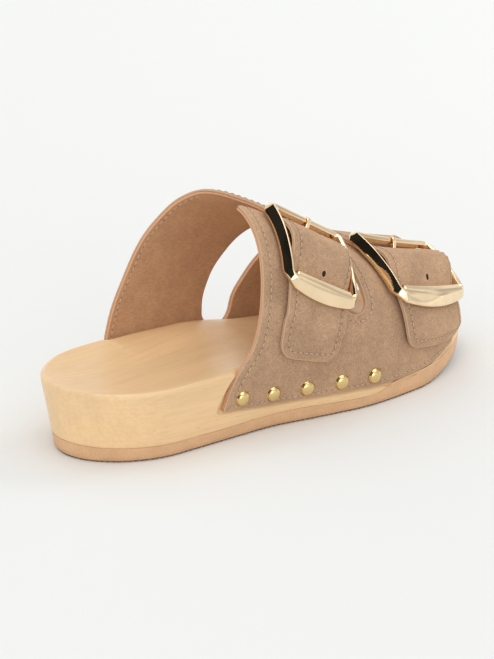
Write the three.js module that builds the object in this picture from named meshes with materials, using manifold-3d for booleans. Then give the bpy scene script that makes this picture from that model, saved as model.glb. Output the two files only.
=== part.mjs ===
// Right-foot mule with a contoured wooden sole and two buckled suede straps.
// Millimetres. +X is the lateral side, +Y points to the toe, +Z is up.
// The origin lies on the floor, on the flat underside of the outsole, halfway along the shoe.

import * as THREE from 'three';
import * as BufferGeometryUtils from 'three/addons/utils/BufferGeometryUtils.js';
import Module from 'manifold-3d';

const wasm = await Module();
wasm.setup();

// Driving dimensions of the sole

const SOLE_LENGTH = 249.5;
const BALL_WIDTH = 92;
const RIM_HEIGHT = 34.5;
const OUTSOLE_THICKNESS = 7;
const TOE_SPRING = 11;
const HEEL_ROUND = 42;
const TOE_ROUND = 62;
const TOE_SHIFT = 6;
const SIDE_FLARE = 5.6;
const HEEL_CUP_DEPTH = 6;
const TOE_RIDGE_HEIGHT = 3.5;
const TOE_RIDGE_WIDTH = 16;
const ARCH_RISE = 3;
const RIM_ROUND = 1.2;
const FLOOR_CHAMFER = 1;

// Driving dimensions of the upper

const INSTEP_HEIGHT = 103.5;
const WALL = 2.8;
const RABBET_DEPTH = 2.4;
const RABBET_MARGIN = 1.7;
const RABBET_RAMP = 2.5;
const STRAP_THICKNESS = 2.4;
const STRAP_SIDE_CLEARANCE = 0.95;
const REAR_TAB_LENGTH = 47.7;
const FRONT_TAB_LENGTH = 36.5;
const TAB_CORNER = 7;
const CROSSING = 22;
const JOIN_RAMP = 5;
const KEEPER_THICKNESS = 1.2;
const KEEPER_WIDTH_SPARE = 6;
const KEEPER_REACH = 8.5;
const KEEPER_TAIL = 30;
const KEEPER_END_RAMP = 6;

// Driving dimensions of the buckles, prongs and studs

const REAR_BUCKLE_WIDTH = 40;
const REAR_BUCKLE_LENGTH = 38.5;
const FRONT_BUCKLE_WIDTH = 54.5;
const FRONT_BUCKLE_LENGTH = 35;
const BUCKLE_CORNER = 6.5;
const SIDE_RAIL_FACE = 3.2;
const TOP_RAIL_FACE = 4;
const LOWER_RAIL_FACE = 5.4;
const LOWER_RAIL_ARCH = 2.6;
const RAIL_DEPTH = 3.4;
const SIDE_RAIL_DEPTH = 6;
const RAIL_BEVEL = 0.7;
const BAR_DIAMETER = 2.6;
const BAR_LIFT = 2;
const TOP_RAIL_LIFT = 0.8;
const PRONG_DIAMETER = 2.4;
const PRONG_HEEL = 1;
const PRONG_NOSE = 1.5;
const STUD_DIAMETER = 7.5;
const STUD_HEIGHT = 2.2;
const STUD_PITCH = 19.2;
const STUD_RISE = 5.2;
const STUD_COUNT = 5;
const GAP = 0.3;

// Small helpers

const clamp = (value, low, high) => Math.min(high, Math.max(low, value));
const mix = (a, b, t) => a + (b - a) * t;

function smooth(low, high, value) {
  const t = clamp((value - low) / (high - low), 0, 1);
  return t * t * (3 - 2 * t);
}

// How wide a rounded end has become at a distance from its tip.
function roundEnd(distance, radius) {
  const t = clamp(distance / radius, 0, 1);
  return Math.sqrt(1 - (1 - t) ** 2);
}

// A smooth curve through one column of a table, read at a place along its key column.
function column(table, key, name) {
  const xs = table.map((row) => row[key]);
  const ys = table.map((row) => row[name]);
  const last = xs.length - 1;
  const steps = xs.slice(1).map((x, i) => (ys[i + 1] - ys[i]) / (x - xs[i]));
  const slopes = xs.map((x, i) => {
    if (i === 0) return steps[0];
    if (i === last) return steps[last - 1];
    if (steps[i - 1] * steps[i] <= 0) return 0;
    return (2 * steps[i - 1] * steps[i]) / (steps[i - 1] + steps[i]);
  });
  return (x) => {
    const at = clamp(x, xs[0], xs[last]);
    let i = 0;
    while (i < last - 1 && at > xs[i + 1]) i += 1;
    const span = xs[i + 1] - xs[i];
    const t = (at - xs[i]) / span;
    const start = (1 + 2 * t) * (1 - t) ** 2 * ys[i] + t * (1 - t) ** 2 * span * slopes[i];
    const end = t * t * (3 - 2 * t) * ys[i + 1] + t * t * (t - 1) * span * slopes[i + 1];
    return start + end;
  };
}

// Plan of the sole. along runs from 0 at the back of the heel to 1 at the tip of the toe.
// lateral and medial are where the two sides run before the ends are rounded, in half ball widths.

const PLAN = [
  { along: 0.0, lateral: 0.79, medial: 0.79 },
  { along: 0.12, lateral: 0.83, medial: 0.81 },
  { along: 0.25, lateral: 0.855, medial: 0.815 },
  { along: 0.38, lateral: 0.88, medial: 0.78 },
  { along: 0.5, lateral: 0.975, medial: 0.795 },
  { along: 0.62, lateral: 1.03, medial: 0.88 },
  { along: 0.74, lateral: 0.99, medial: 0.965 },
  { along: 0.86, lateral: 0.875, medial: 0.98 },
  { along: 1.0, lateral: 0.76, medial: 0.99 },
];

// Side view of the sole: rim and hem in rim heights, outsole in outsole thicknesses.
// flare is how far the rim stands outside the floor edge, in side flares.
// cup is the depth of the footbed below its rim, and arch the rise of its medial side.

const PROFILE = [
  { along: 0.0, rim: 1.0, hem: 0.5, outsole: 1.15, flare: 1.0, cup: 0.0, arch: 0.0 },
  { along: 0.06, rim: 1.0, hem: 0.5, outsole: 1.05, flare: 1.0, cup: 0.7, arch: 0.0 },
  { along: 0.14, rim: 1.0, hem: 0.5, outsole: 1.0, flare: 1.0, cup: 1.0, arch: 0.0 },
  { along: 0.28, rim: 1.0, hem: 0.47, outsole: 0.95, flare: 1.0, cup: 0.95, arch: 0.4 },
  { along: 0.38, rim: 0.99, hem: 0.39, outsole: 1.0, flare: 1.0, cup: 0.8, arch: 1.0 },
  { along: 0.46, rim: 0.92, hem: 0.365, outsole: 1.02, flare: 0.95, cup: 0.65, arch: 1.0 },
  { along: 0.54, rim: 0.8, hem: 0.345, outsole: 0.9, flare: 0.75, cup: 0.5, arch: 0.6 },
  { along: 0.62, rim: 0.7, hem: 0.315, outsole: 0.82, flare: 0.45, cup: 0.45, arch: 0.2 },
  { along: 0.68, rim: 0.63, hem: 0.3, outsole: 1.3, flare: 0.38, cup: 0.45, arch: 0.0 },
  { along: 0.76, rim: 0.6, hem: 0.33, outsole: 1.45, flare: 0.36, cup: 0.45, arch: 0.0 },
  { along: 0.84, rim: 0.62, hem: 0.4, outsole: 1.55, flare: 0.36, cup: 0.45, arch: 0.0 },
  { along: 0.93, rim: 0.69, hem: 0.48, outsole: 1.9, flare: 0.36, cup: 0.4, arch: 0.0 },
  { along: 1.0, rim: 0.78, hem: 0.58, outsole: 2.4, flare: 0.36, cup: 0.0, arch: 0.0 },
];

const BALL_STATION = 0.74;
const RIDGE_STATION = 0.8;
const SPINE_START = 0.6;

const lateralSide = column(PLAN, 'along', 'lateral');
const medialSide = column(PLAN, 'along', 'medial');
const rimShare = column(PROFILE, 'along', 'rim');
const hemShare = column(PROFILE, 'along', 'hem');
const outsoleShare = column(PROFILE, 'along', 'outsole');
const flareShare = column(PROFILE, 'along', 'flare');
const cupShare = column(PROFILE, 'along', 'cup');
const archShare = column(PROFILE, 'along', 'arch');

const rimZ = (along) => RIM_HEIGHT * rimShare(along);
const hemZ = (along) => RIM_HEIGHT * hemShare(along);
const outsoleZ = (along) => OUTSOLE_THICKNESS * outsoleShare(along);
const floorZ = (along) => TOE_SPRING * clamp((along - BALL_STATION) / (1 - BALL_STATION), 0, 1) ** 2;
const flareAt = (along, z) => (SIDE_FLARE * flareShare(along) * (rimZ(along) - z)) / RIM_HEIGHT;

// A point on the side of the sole. side is 1 for lateral and -1 for medial, and offset moves it out.
function sidePoint(along, side, offset, z) {
  const half = (side > 0 ? lateralSide(along) : medialSide(along)) * (BALL_WIDTH / 2) + offset;
  const spine = -TOE_SHIFT * smooth(SPINE_START, 1, along);
  const heelRound = roundEnd(along * SOLE_LENGTH, HEEL_ROUND);
  const toeRound = roundEnd((1 - along) * SOLE_LENGTH, TOE_ROUND);
  const x = spine + (side * half - spine) * heelRound * toeRound;
  const y = -SOLE_LENGTH / 2 - offset + along * (SOLE_LENGTH + 2 * offset);
  return new THREE.Vector3(x, y, z);
}

// The sole's side leans in by its flare on the way down.
const leaningSide = (along, side, offset, z) => sidePoint(along, side, offset - flareAt(along, z), z);

// Solids from grids and rings

// Welds corners that lie on each other, drops triangles that have no area, and keeps positions only.
function solidGeometry(positions) {
  const loose = new THREE.BufferGeometry();
  loose.setAttribute('position', new THREE.Float32BufferAttribute(positions, 3));
  const welded = BufferGeometryUtils.mergeVertices(loose, 1e-3);
  const index = Array.from(welded.index.array);
  const kept = [];
  for (let i = 0; i < index.length; i += 3) {
    const [a, b, c] = index.slice(i, i + 3);
    if (a !== b && b !== c && c !== a) kept.push(a, b, c);
  }
  welded.setIndex(kept);
  return welded;
}

function pushTriangle(positions, a, b, c) {
  positions.push(a.x, a.y, a.z, b.x, b.y, b.z, c.x, c.y, c.z);
}

// Four corners in order, seen anticlockwise from outside.
function pushQuad(positions, a, b, c, d) {
  pushTriangle(positions, a, b, c);
  pushTriangle(positions, a, c, d);
}

// A loft through closed rings with the same number of points. Its end rings have no area.
function loftSolid(rings) {
  const positions = [];
  for (let i = 0; i < rings.length - 1; i += 1) {
    const ring = rings[i];
    const next = rings[i + 1];
    for (let j = 0; j < ring.length; j += 1) {
      const k = (j + 1) % ring.length;
      pushQuad(positions, ring[j], ring[k], next[k], next[j]);
    }
  }
  return solidGeometry(positions);
}

const ringCentre = (ring) => ring.reduce((sum, point) => sum.add(point), new THREE.Vector3())
  .divideScalar(ring.length);

// A loft whose two end rings are closed by a fan around their centres.
function cappedLoft(rings) {
  const first = rings[0];
  const last = rings[rings.length - 1];
  const startCap = first.map(() => ringCentre(first));
  const endCap = last.map(() => ringCentre(last));
  return loftSolid([startCap, ...rings, endCap]);
}

const SAME_PLACE = 2e-3;

// A sheet with an outer and an inner face over rows and columns, with the cells that keep() leaves.
function sheetSolid(outer, inner, keep) {
  const positions = [];
  const rows = outer.length - 1;
  const columns = outer[0].length - 1;
  const kept = (row, col) => row >= 0 && row < rows && col >= 0 && col < columns && keep(row, col);
  const wall = (rowA, colA, rowB, colB) => {
    if (outer[rowA][colA].distanceTo(outer[rowB][colB]) < SAME_PLACE) return;
    pushQuad(positions, inner[rowA][colA], inner[rowB][colB], outer[rowB][colB], outer[rowA][colA]);
  };
  for (let row = 0; row < rows; row += 1) {
    for (let col = 0; col < columns; col += 1) {
      if (!kept(row, col)) continue;
      pushQuad(positions, outer[row][col], outer[row][col + 1], outer[row + 1][col + 1], outer[row + 1][col]);
      pushQuad(positions, inner[row][col], inner[row + 1][col], inner[row + 1][col + 1], inner[row][col + 1]);
      if (!kept(row - 1, col)) wall(row, col, row, col + 1);
      if (!kept(row + 1, col)) wall(row + 1, col + 1, row + 1, col);
      if (!kept(row, col - 1)) wall(row + 1, col, row, col);
      if (!kept(row, col + 1)) wall(row, col + 1, row + 1, col + 1);
    }
  }
  return solidGeometry(positions);
}

function toManifold(geometry) {
  return new wasm.Manifold(new wasm.Mesh({
    numProp: 3,
    vertProperties: new Float32Array(geometry.attributes.position.array),
    triVerts: new Uint32Array(geometry.index.array),
  }));
}

function fromManifold(solid) {
  const mesh = solid.getMesh();
  const geometry = new THREE.BufferGeometry();
  geometry.setAttribute('position', new THREE.BufferAttribute(new Float32Array(mesh.vertProperties), 3));
  geometry.setIndex(Array.from(mesh.triVerts));
  return geometry;
}

// Upper

// Section over the foot at each station: crown is its inside height in instep heights,
// crownOut the place of the crown in half ball widths, and square how boxy the arch is.

const ARCH = [
  { along: 0.15, crown: 1.14, crownOut: -0.1, square: 2.7 },
  { along: 0.3, crown: 1.06, crownOut: -0.1, square: 2.7 },
  { along: 0.37, crown: 1.0, crownOut: -0.1, square: 2.7 },
  { along: 0.46, crown: 0.905, crownOut: -0.1, square: 2.65 },
  { along: 0.55, crown: 0.79, crownOut: -0.12, square: 2.55 },
  { along: 0.63, crown: 0.7, crownOut: -0.15, square: 2.5 },
  { along: 0.69, crown: 0.64, crownOut: -0.18, square: 2.45 },
  { along: 0.78, crown: 0.575, crownOut: -0.2, square: 2.4 },
  { along: 0.87, crown: 0.515, crownOut: -0.2, square: 2.4 },
  { along: 0.95, crown: 0.46, crownOut: -0.2, square: 2.4 },
];

const crownShare = column(ARCH, 'along', 'crown');
const crownOutShare = column(ARCH, 'along', 'crownOut');
const squareness = column(ARCH, 'along', 'square');

const SECTION_STEPS = 48;
const HEM_STEPS = 5;
const sections = new Map();

// One section of the upper's inside, from the lateral hem over the crown to the medial hem.
function archSection(along) {
  const key = along.toFixed(6);
  if (sections.has(key)) return sections.get(key);
  const rim = rimZ(along);
  const hem = hemZ(along);
  const inside = GAP - RABBET_DEPTH;
  const crown = INSTEP_HEIGHT * crownShare(along);
  const crownX = crownOutShare(along) * (BALL_WIDTH / 2);
  const power = 2 / squareness(along);
  const sides = [1, -1].map((side) => sidePoint(along, side, inside, rim));
  const points = [];
  for (let i = 0; i < HEM_STEPS; i += 1) {
    points.push(leaningSide(along, 1, inside, mix(hem, rim, i / HEM_STEPS)));
  }
  for (let i = 0; i <= SECTION_STEPS; i += 1) {
    const angle = (Math.PI * i) / SECTION_STEPS;
    const foot = angle < Math.PI / 2 ? sides[0] : sides[1];
    const reach = Math.abs(Math.cos(angle)) ** power;
    const rise = Math.sin(angle) ** power;
    points.push(new THREE.Vector3(mix(crownX, foot.x, reach), foot.y, mix(rim, crown, rise)));
  }
  for (let i = HEM_STEPS - 1; i >= 0; i -= 1) {
    points.push(leaningSide(along, -1, inside, mix(hem, rim, i / HEM_STEPS)));
  }
  const lengths = [0];
  for (let i = 1; i < points.length; i += 1) {
    lengths.push(lengths[i - 1] + points[i].distanceTo(points[i - 1]));
  }
  const total = lengths[lengths.length - 1];
  const section = { points, lengths, total, rimAround: lengths[HEM_STEPS] / total };
  sections.set(key, section);
  return section;
}

// around runs from 0 at the lateral hem to 1 at the medial hem, by length over the section.
function insidePoint(along, around) {
  const { points, lengths, total } = archSection(along);
  const want = clamp(around, 0, 1) * total;
  let i = 1;
  while (i < lengths.length - 1 && lengths[i] < want) i += 1;
  const t = (want - lengths[i - 1]) / (lengths[i] - lengths[i - 1]);
  return points[i - 1].clone().lerp(points[i], t);
}

const NORMAL_STEP = 0.012;

function wallNormal(along, around) {
  const back = insidePoint(along - NORMAL_STEP, around);
  const front = insidePoint(along + NORMAL_STEP, around);
  const low = insidePoint(along, around - NORMAL_STEP);
  const high = insidePoint(along, around + NORMAL_STEP);
  return front.sub(back).cross(high.sub(low)).normalize();
}

// A point at a height above the inside of the upper, square to it.
const wallPoint = (along, around, height) => insidePoint(along, around)
  .addScaledVector(wallNormal(along, around), height);

// Edges of the upper, as places along the sole at each place around the section.
// The slot between the two straps is open where slotFront lies ahead of slotBack.

const EDGES = [
  { around: 0.0, rear: 0.268, slotBack: 0.547, slotFront: 0.607, front: 0.875 },
  { around: 0.045, rear: 0.283, slotBack: 0.547, slotFront: 0.607, front: 0.89 },
  { around: 0.086, rear: 0.305, slotBack: 0.547, slotFront: 0.607, front: 0.9 },
  { around: 0.128, rear: 0.335, slotBack: 0.547, slotFront: 0.607, front: 0.905 },
  { around: 0.18, rear: 0.352, slotBack: 0.547, slotFront: 0.607, front: 0.905 },
  { around: 0.25, rear: 0.366, slotBack: 0.547, slotFront: 0.61, front: 0.905 },
  { around: 0.33, rear: 0.38, slotBack: 0.555, slotFront: 0.611, front: 0.9 },
  { around: 0.4, rear: 0.386, slotBack: 0.575, slotFront: 0.62, front: 0.895 },
  { around: 0.48, rear: 0.385, slotBack: 0.598, slotFront: 0.645, front: 0.89 },
  { around: 0.56, rear: 0.377, slotBack: 0.585, slotFront: 0.66, front: 0.89 },
  { around: 0.64, rear: 0.35, slotBack: 0.556, slotFront: 0.655, front: 0.89 },
  { around: 0.72, rear: 0.308, slotBack: 0.52, slotFront: 0.63, front: 0.89 },
  { around: 0.8, rear: 0.275, slotBack: 0.482, slotFront: 0.588, front: 0.89 },
  { around: 0.87, rear: 0.246, slotBack: 0.464, slotFront: 0.55, front: 0.885 },
  { around: 0.92, rear: 0.232, slotBack: 0.463, slotFront: 0.542, front: 0.88 },
  { around: 1.0, rear: 0.215, slotBack: 0.463, slotFront: 0.542, front: 0.86 },
];

const SLOT_LATERAL_END = 0.195;
const SLOT_MEDIAL_END = 0.93;
const SLOT_ROUND = 0.04;

const rearEdge = column(EDGES, 'around', 'rear');
const frontEdge = column(EDGES, 'around', 'front');
const slotBackLine = column(EDGES, 'around', 'slotBack');
const slotFrontLine = column(EDGES, 'around', 'slotFront');

// The slot's two ends are rounded: its width follows a circle near them.
function slotEdges(around) {
  const middle = (slotBackLine(around) + slotFrontLine(around)) / 2;
  const half = (slotFrontLine(around) - slotBackLine(around)) / 2;
  const fromEnd = Math.min(around - SLOT_LATERAL_END, SLOT_MEDIAL_END - around);
  const round = roundEnd(fromEnd, SLOT_ROUND);
  return { back: middle - half * round, front: middle + half * round };
}

// Rows of the upper: close together at the slot's round ends and at the hems.
const SLOT_END_ROWS = [0, 0.06, 0.25, 0.6, 1];

function upperRows() {
  const rows = [];
  const spread = (from, to, count) => {
    for (let i = 0; i < count; i += 1) rows.push(mix(from, to, i / count));
  };
  spread(0, SLOT_LATERAL_END, 8);
  SLOT_END_ROWS.slice(0, -1).forEach((share) => rows.push(SLOT_LATERAL_END + SLOT_ROUND * share));
  spread(SLOT_LATERAL_END + SLOT_ROUND, SLOT_MEDIAL_END - SLOT_ROUND, 26);
  SLOT_END_ROWS.slice(1).reverse().forEach((share) => rows.push(SLOT_MEDIAL_END - SLOT_ROUND * share));
  spread(SLOT_MEDIAL_END, 1, 3);
  rows.push(1);
  return rows;
}

const REAR_CELLS = 7;
const FRONT_CELLS = 9;

// Places along the sole of one row's corners: rear strap, slot, front strap.
function upperRow(around) {
  const { back, front } = slotEdges(around);
  const places = [];
  for (let i = 0; i <= REAR_CELLS; i += 1) places.push(mix(rearEdge(around), back, i / REAR_CELLS));
  for (let i = 0; i <= FRONT_CELLS; i += 1) places.push(mix(front, frontEdge(around), i / FRONT_CELLS));
  return places;
}

function upperShell() {
  const rows = upperRows();
  const grid = (height) => rows.map((around) => upperRow(around)
    .map((along) => wallPoint(along, around, height)));
  const inner = grid(0);
  const outer = grid(WALL);
  const closed = (row) => inner[row][REAR_CELLS].distanceTo(inner[row][REAR_CELLS + 1]) < SAME_PLACE;
  return sheetSolid(outer, inner, (row, col) => col !== REAR_CELLS || (closed(row) && closed(row + 1)));
}

// Buckled straps. Each lies in its own flat plan on the upper: across is the way over the strap's
// width towards the toe, and up is the way along the strap from its tab towards the crown.
// tilt is how far the way across leans down to the toe, and lean how far the way up leans to it.

const STRAPS = [
  {
    name: 'rear', along: 0.5, around: 0.335, tilt: 17.5, lean: 14.5, bottomTilt: -9,
    tab: REAR_TAB_LENGTH, frameWidth: REAR_BUCKLE_WIDTH, frameLength: REAR_BUCKLE_LENGTH,
  },
  {
    name: 'front', along: 0.775, around: 0.305, tilt: 8.5, lean: -5, bottomTilt: 2,
    tab: FRONT_TAB_LENGTH, frameWidth: FRONT_BUCKLE_WIDTH, frameLength: FRONT_BUCKLE_LENGTH,
  },
];

const strapWidth = (strap) => strap.frameWidth - 2 * (SIDE_RAIL_FACE + STRAP_SIDE_CLEARANCE);

function strapPoint(strap, across, up, height) {
  const tilt = THREE.MathUtils.degToRad(strap.tilt);
  const lean = THREE.MathUtils.degToRad(strap.lean);
  const forward = across * Math.cos(tilt) + up * Math.sin(lean);
  const rise = up * Math.cos(lean) - across * Math.sin(tilt);
  const along = strap.along + forward / SOLE_LENGTH;
  return wallPoint(along, strap.around + rise / archSection(strap.along).total, height);
}

// Heights above the upper's inside of what is stacked on its outer face.
const SEAT = WALL + GAP;
const BAR_SEAT = SEAT + BAR_LIFT;
const BAR_TOP = BAR_SEAT + BAR_DIAMETER;
const KEEPER_CREST = BAR_TOP + GAP;
const STRAP_CREST = KEEPER_CREST + KEEPER_THICKNESS + GAP;
const STRAP_ON_KEEPER = SEAT + KEEPER_THICKNESS + GAP;
// Flat faces of the frame cut across the curve of the strap below by about this much.
const CHORD_SPARE = 0.25;
const TOP_RAIL_SEAT = SEAT + STRAP_THICKNESS + GAP + CHORD_SPARE + TOP_RAIL_LIFT;
const LOWER_RAIL_SEAT = STRAP_ON_KEEPER + STRAP_THICKNESS + GAP + CHORD_SPARE;
const JOINED_SINK = 0.9;
const RAIL_CLEARANCE = 1.2;

// Underside of the strap. It swells over the bar and tucks under both rails. Above the buckle it
// sinks into the wall, where the two layers are joined.
function strapUnderside(strap, up) {
  const halfLength = strap.frameLength / 2;
  const railTop = halfLength - TOP_RAIL_FACE - RAIL_CLEARANCE;
  const offKeeper = smooth(-KEEPER_TAIL, -KEEPER_TAIL - KEEPER_END_RAMP, up);
  const resting = mix(STRAP_ON_KEEPER, SEAT, up < 0 ? offKeeper : smooth(KEEPER_REACH, railTop, up));
  const sunk = smooth(0, up < 0 ? halfLength - LOWER_RAIL_FACE : railTop, Math.abs(up));
  const lifted = mix(STRAP_CREST, resting, sunk);
  const joined = smooth(halfLength, halfLength + JOIN_RAMP, up);
  return mix(lifted, WALL - JOINED_SINK, joined);
}

// Upper face of the strap, which runs down to the wall's outer face at the far end of the crossing.
function strapTopside(strap, up) {
  const end = strap.frameLength / 2 + CROSSING;
  const flat = strapUnderside(strap, Math.min(up, strap.frameLength / 2)) + STRAP_THICKNESS;
  return mix(flat, WALL + GAP / 2, smooth(end - CROSSING * 0.7, end, up));
}

const STRAP_CELLS = 7;
const KEEPER_CELLS = 4;
const STRAP_STEP = 2.6;

// Half width of a strap at a height: full, and rounded at the two corners of its tab.
function tabHalf(strap, fromEnd) {
  return strapWidth(strap) / 2 - TAB_CORNER + TAB_CORNER * roundEnd(fromEnd, TAB_CORNER);
}

function strapSheet(strap) {
  const end = strap.frameLength / 2 + CROSSING;
  const length = end + strap.tab;
  const count = Math.ceil(length / STRAP_STEP);
  const slope = Math.tan(THREE.MathUtils.degToRad(strap.bottomTilt));
  const inner = [];
  const outer = [];
  for (let i = 0; i <= count; i += 1) {
    const fromEnd = length * (i / count) ** 1.15;
    const half = tabHalf(strap, fromEnd);
    const straight = smooth(strap.tab * 0.6, 0, fromEnd);
    const rowInner = [];
    const rowOuter = [];
    for (let j = 0; j <= STRAP_CELLS; j += 1) {
      const across = mix(-half, half, j / STRAP_CELLS);
      const up = fromEnd - strap.tab - across * slope * straight;
      rowInner.push(strapPoint(strap, across, up, strapUnderside(strap, up)));
      rowOuter.push(strapPoint(strap, across, up, strapTopside(strap, up)));
    }
    inner.push(rowInner);
    outer.push(rowOuter);
  }
  return sheetSolid(outer, inner, () => true);
}

// A thin keeper that is sewn to the upper above and below the buckle's bar and holds it.
function keeperSheet(strap) {
  const half = (strapWidth(strap) - KEEPER_WIDTH_SPARE) / 2;
  const below = Math.ceil(KEEPER_TAIL / STRAP_STEP);
  const above = Math.ceil(KEEPER_REACH / STRAP_STEP);
  const inner = [];
  const outer = [];
  for (let i = -below; i <= above; i += 1) {
    const up = i < 0 ? KEEPER_TAIL * (i / below) : KEEPER_REACH * (i / above);
    const height = mix(KEEPER_CREST, SEAT, smooth(0, KEEPER_REACH, Math.abs(up)));
    const row = (lift) => Array.from({ length: KEEPER_CELLS + 1 }, (_, j) => strapPoint(
      strap, mix(-half, half, j / KEEPER_CELLS), up, height + lift,
    ));
    inner.push(row(0));
    outer.push(row(KEEPER_THICKNESS));
  }
  return sheetSolid(outer, inner, () => true);
}

// Buckle frame

const CORNER_STEPS = 5;
const LONG_STEPS = 7;
const RAIL_LIFT_START = 0.35;

// Points of a rounded rectangle with their outward directions, round the frame.
function framePath(width, length) {
  const path = [];
  const halfAcross = width / 2 - BUCKLE_CORNER;
  const halfUp = length / 2 - BUCKLE_CORNER;
  const corners = [[1, -1, -90], [1, 1, 0], [-1, 1, 90], [-1, -1, 180]];
  corners.forEach(([signAcross, signUp, start], index) => {
    for (let i = 0; i <= CORNER_STEPS; i += 1) {
      const angle = THREE.MathUtils.degToRad(start + (90 * i) / CORNER_STEPS);
      path.push({
        across: signAcross * halfAcross + BUCKLE_CORNER * Math.cos(angle),
        up: signUp * halfUp + BUCKLE_CORNER * Math.sin(angle),
        outAcross: Math.cos(angle),
        outUp: Math.sin(angle),
      });
    }
    const from = path[path.length - 1];
    const [nextAcross, nextUp] = corners[(index + 1) % 4];
    for (let i = 1; i < LONG_STEPS; i += 1) {
      const t = i / LONG_STEPS;
      const toAcross = nextAcross * halfAcross + BUCKLE_CORNER * from.outAcross;
      const toUp = nextUp * halfUp + BUCKLE_CORNER * from.outUp;
      path.push({ ...from, across: mix(from.across, toAcross, t), up: mix(from.up, toUp, t) });
    }
  });
  return path;
}

// Blends a value for the side rails with those for the top rail and the lower rail.
const railBlend = (place, weight, side, top, lower) => mix(side, place.outUp > 0 ? top : lower, weight);

function frameRing(strap, place) {
  const face = railBlend(place, place.outUp ** 2, SIDE_RAIL_FACE, TOP_RAIL_FACE, LOWER_RAIL_FACE);
  const raised = smooth(0, RAIL_LIFT_START, Math.abs(place.outUp));
  const sideSeat = LOWER_RAIL_SEAT + RAIL_DEPTH - SIDE_RAIL_DEPTH;
  const seat = railBlend(place, raised, sideSeat, TOP_RAIL_SEAT, LOWER_RAIL_SEAT);
  const depth = mix(SIDE_RAIL_DEPTH, RAIL_DEPTH, raised);
  const arched = 1 - (place.across / (strap.frameWidth / 2)) ** 2;
  const arch = LOWER_RAIL_ARCH * arched * Math.min(place.outUp, 0) ** 2;
  const corner = (outward, height) => strapPoint(
    strap, place.across + place.outAcross * outward, place.up + place.outUp * outward, seat + height,
  );
  return [
    corner(-face, 0),
    corner(-face, depth - RAIL_BEVEL),
    corner(RAIL_BEVEL - face, depth),
    corner(arch - RAIL_BEVEL, depth),
    corner(arch, depth - RAIL_BEVEL),
    corner(arch, 0),
  ];
}

const ROUND_SIDES = 8;
const BAR_SHARES = [-1, -0.5, 0, 0.5, 1];

// A round rod over a strap, through places given as across, up and height of its axis.
function rod(strap, places, radii) {
  const axis = places.map(([across, up, height]) => strapPoint(strap, across, up, height));
  const rings = axis.map((centre, i) => {
    const ahead = axis[Math.min(i + 1, axis.length - 1)];
    const behind = axis[Math.max(i - 1, 0)];
    const tangent = ahead.clone().sub(behind).normalize();
    const [across, up, height] = places[i];
    const outward = strapPoint(strap, across, up, height + 1).sub(centre);
    const sideways = outward.clone().cross(tangent).normalize();
    const upright = tangent.clone().cross(sideways).normalize();
    return Array.from({ length: ROUND_SIDES }, (_, j) => {
      const angle = (2 * Math.PI * (j + 0.5)) / ROUND_SIDES;
      return centre.clone()
        .addScaledVector(sideways, Math.cos(angle) * radii[i])
        .addScaledVector(upright, Math.sin(angle) * radii[i]);
    });
  });
  return cappedLoft(rings);
}

function buckleFrame(strap) {
  const rings = framePath(strap.frameWidth, strap.frameLength).map((place) => frameRing(strap, place));
  const frame = toManifold(loftSolid([...rings, rings[0]]));
  const reach = strap.frameWidth / 2 - SIDE_RAIL_FACE / 2;
  const places = BAR_SHARES.map((share) => [share * reach, 0, BAR_SEAT + BAR_DIAMETER / 2]);
  const bar = toManifold(rod(strap, places, places.map(() => BAR_DIAMETER / 2)));
  return fromManifold(frame.add(bar));
}

// The prong lies on the bar, comes up through the strap and rests its tip on the top rail.
function prongRod(strap, spare) {
  const radius = PRONG_DIAMETER / 2;
  const low = BAR_TOP + GAP + radius;
  const high = TOP_RAIL_SEAT + RAIL_DEPTH + GAP + radius;
  const railUp = strap.frameLength / 2 - TOP_RAIL_FACE;
  const tipUp = strap.frameLength / 2 - TOP_RAIL_FACE * 0.35;
  const places = [
    [0, -PRONG_HEEL - spare, low],
    [0, railUp * 0.35, mix(low, high, 0.5)],
    [0, railUp * 0.7, mix(low, high, 0.92)],
    [0, railUp, high],
    [0, tipUp - PRONG_NOSE, high],
    [0, tipUp, high],
  ];
  const radii = places.map((_, i) => (i === places.length - 1 ? radius * 0.55 : radius) + spare);
  return rod(strap, places, radii);
}

function upperSolid() {
  const shell = toManifold(upperShell());
  const withStraps = STRAPS.reduce((solid, strap) => solid.add(toManifold(strapSheet(strap))), shell);
  return STRAPS.reduce((solid, strap) => solid.subtract(toManifold(prongRod(strap, GAP))), withStraps);
}

// Wooden sole

// Stations run from heel to toe, closer together round the two ends.
const HEEL_STATIONS = 8;
const MIDDLE_STATIONS = 20;
const TOE_STATIONS = 9;
const HEEL_SHARE = 0.17;
const TOE_SHARE = 0.25;
const REAR_CUT = 0.26;
const FRONT_CUT = 0.9;

function stations() {
  const quarter = (count, i) => 1 - Math.cos((Math.PI / 2) * (i / count));
  const heel = Array.from({ length: HEEL_STATIONS }, (_, i) => HEEL_SHARE * quarter(HEEL_STATIONS, i));
  const middle = Array.from({ length: MIDDLE_STATIONS }, (_, i) => mix(
    HEEL_SHARE, 1 - TOE_SHARE, i / MIDDLE_STATIONS,
  ));
  const toe = Array.from({ length: TOE_STATIONS + 1 }, (_, i) => 1 - TOE_SHARE * quarter(
    TOE_STATIONS, TOE_STATIONS - i,
  ));
  const cut = RABBET_RAMP / SOLE_LENGTH;
  const cuts = [REAR_CUT - cut, REAR_CUT, FRONT_CUT, FRONT_CUT + cut];
  const spaced = [...heel, ...middle, ...toe].filter((place) => cuts.every((at) => Math.abs(at - place) > cut));
  return [...spaced, ...cuts].sort((a, b) => a - b);
}

// The rabbet that takes the upper's hem ends at the upper's own edges, a margin outside them.
function cutEnds(side, rise) {
  const reach = archSection(0.5).rimAround * rise;
  const around = side > 0 ? reach : 1 - reach;
  const margin = RABBET_MARGIN / SOLE_LENGTH;
  return { rear: rearEdge(around) - margin, front: frontEdge(around) + margin };
}

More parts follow.
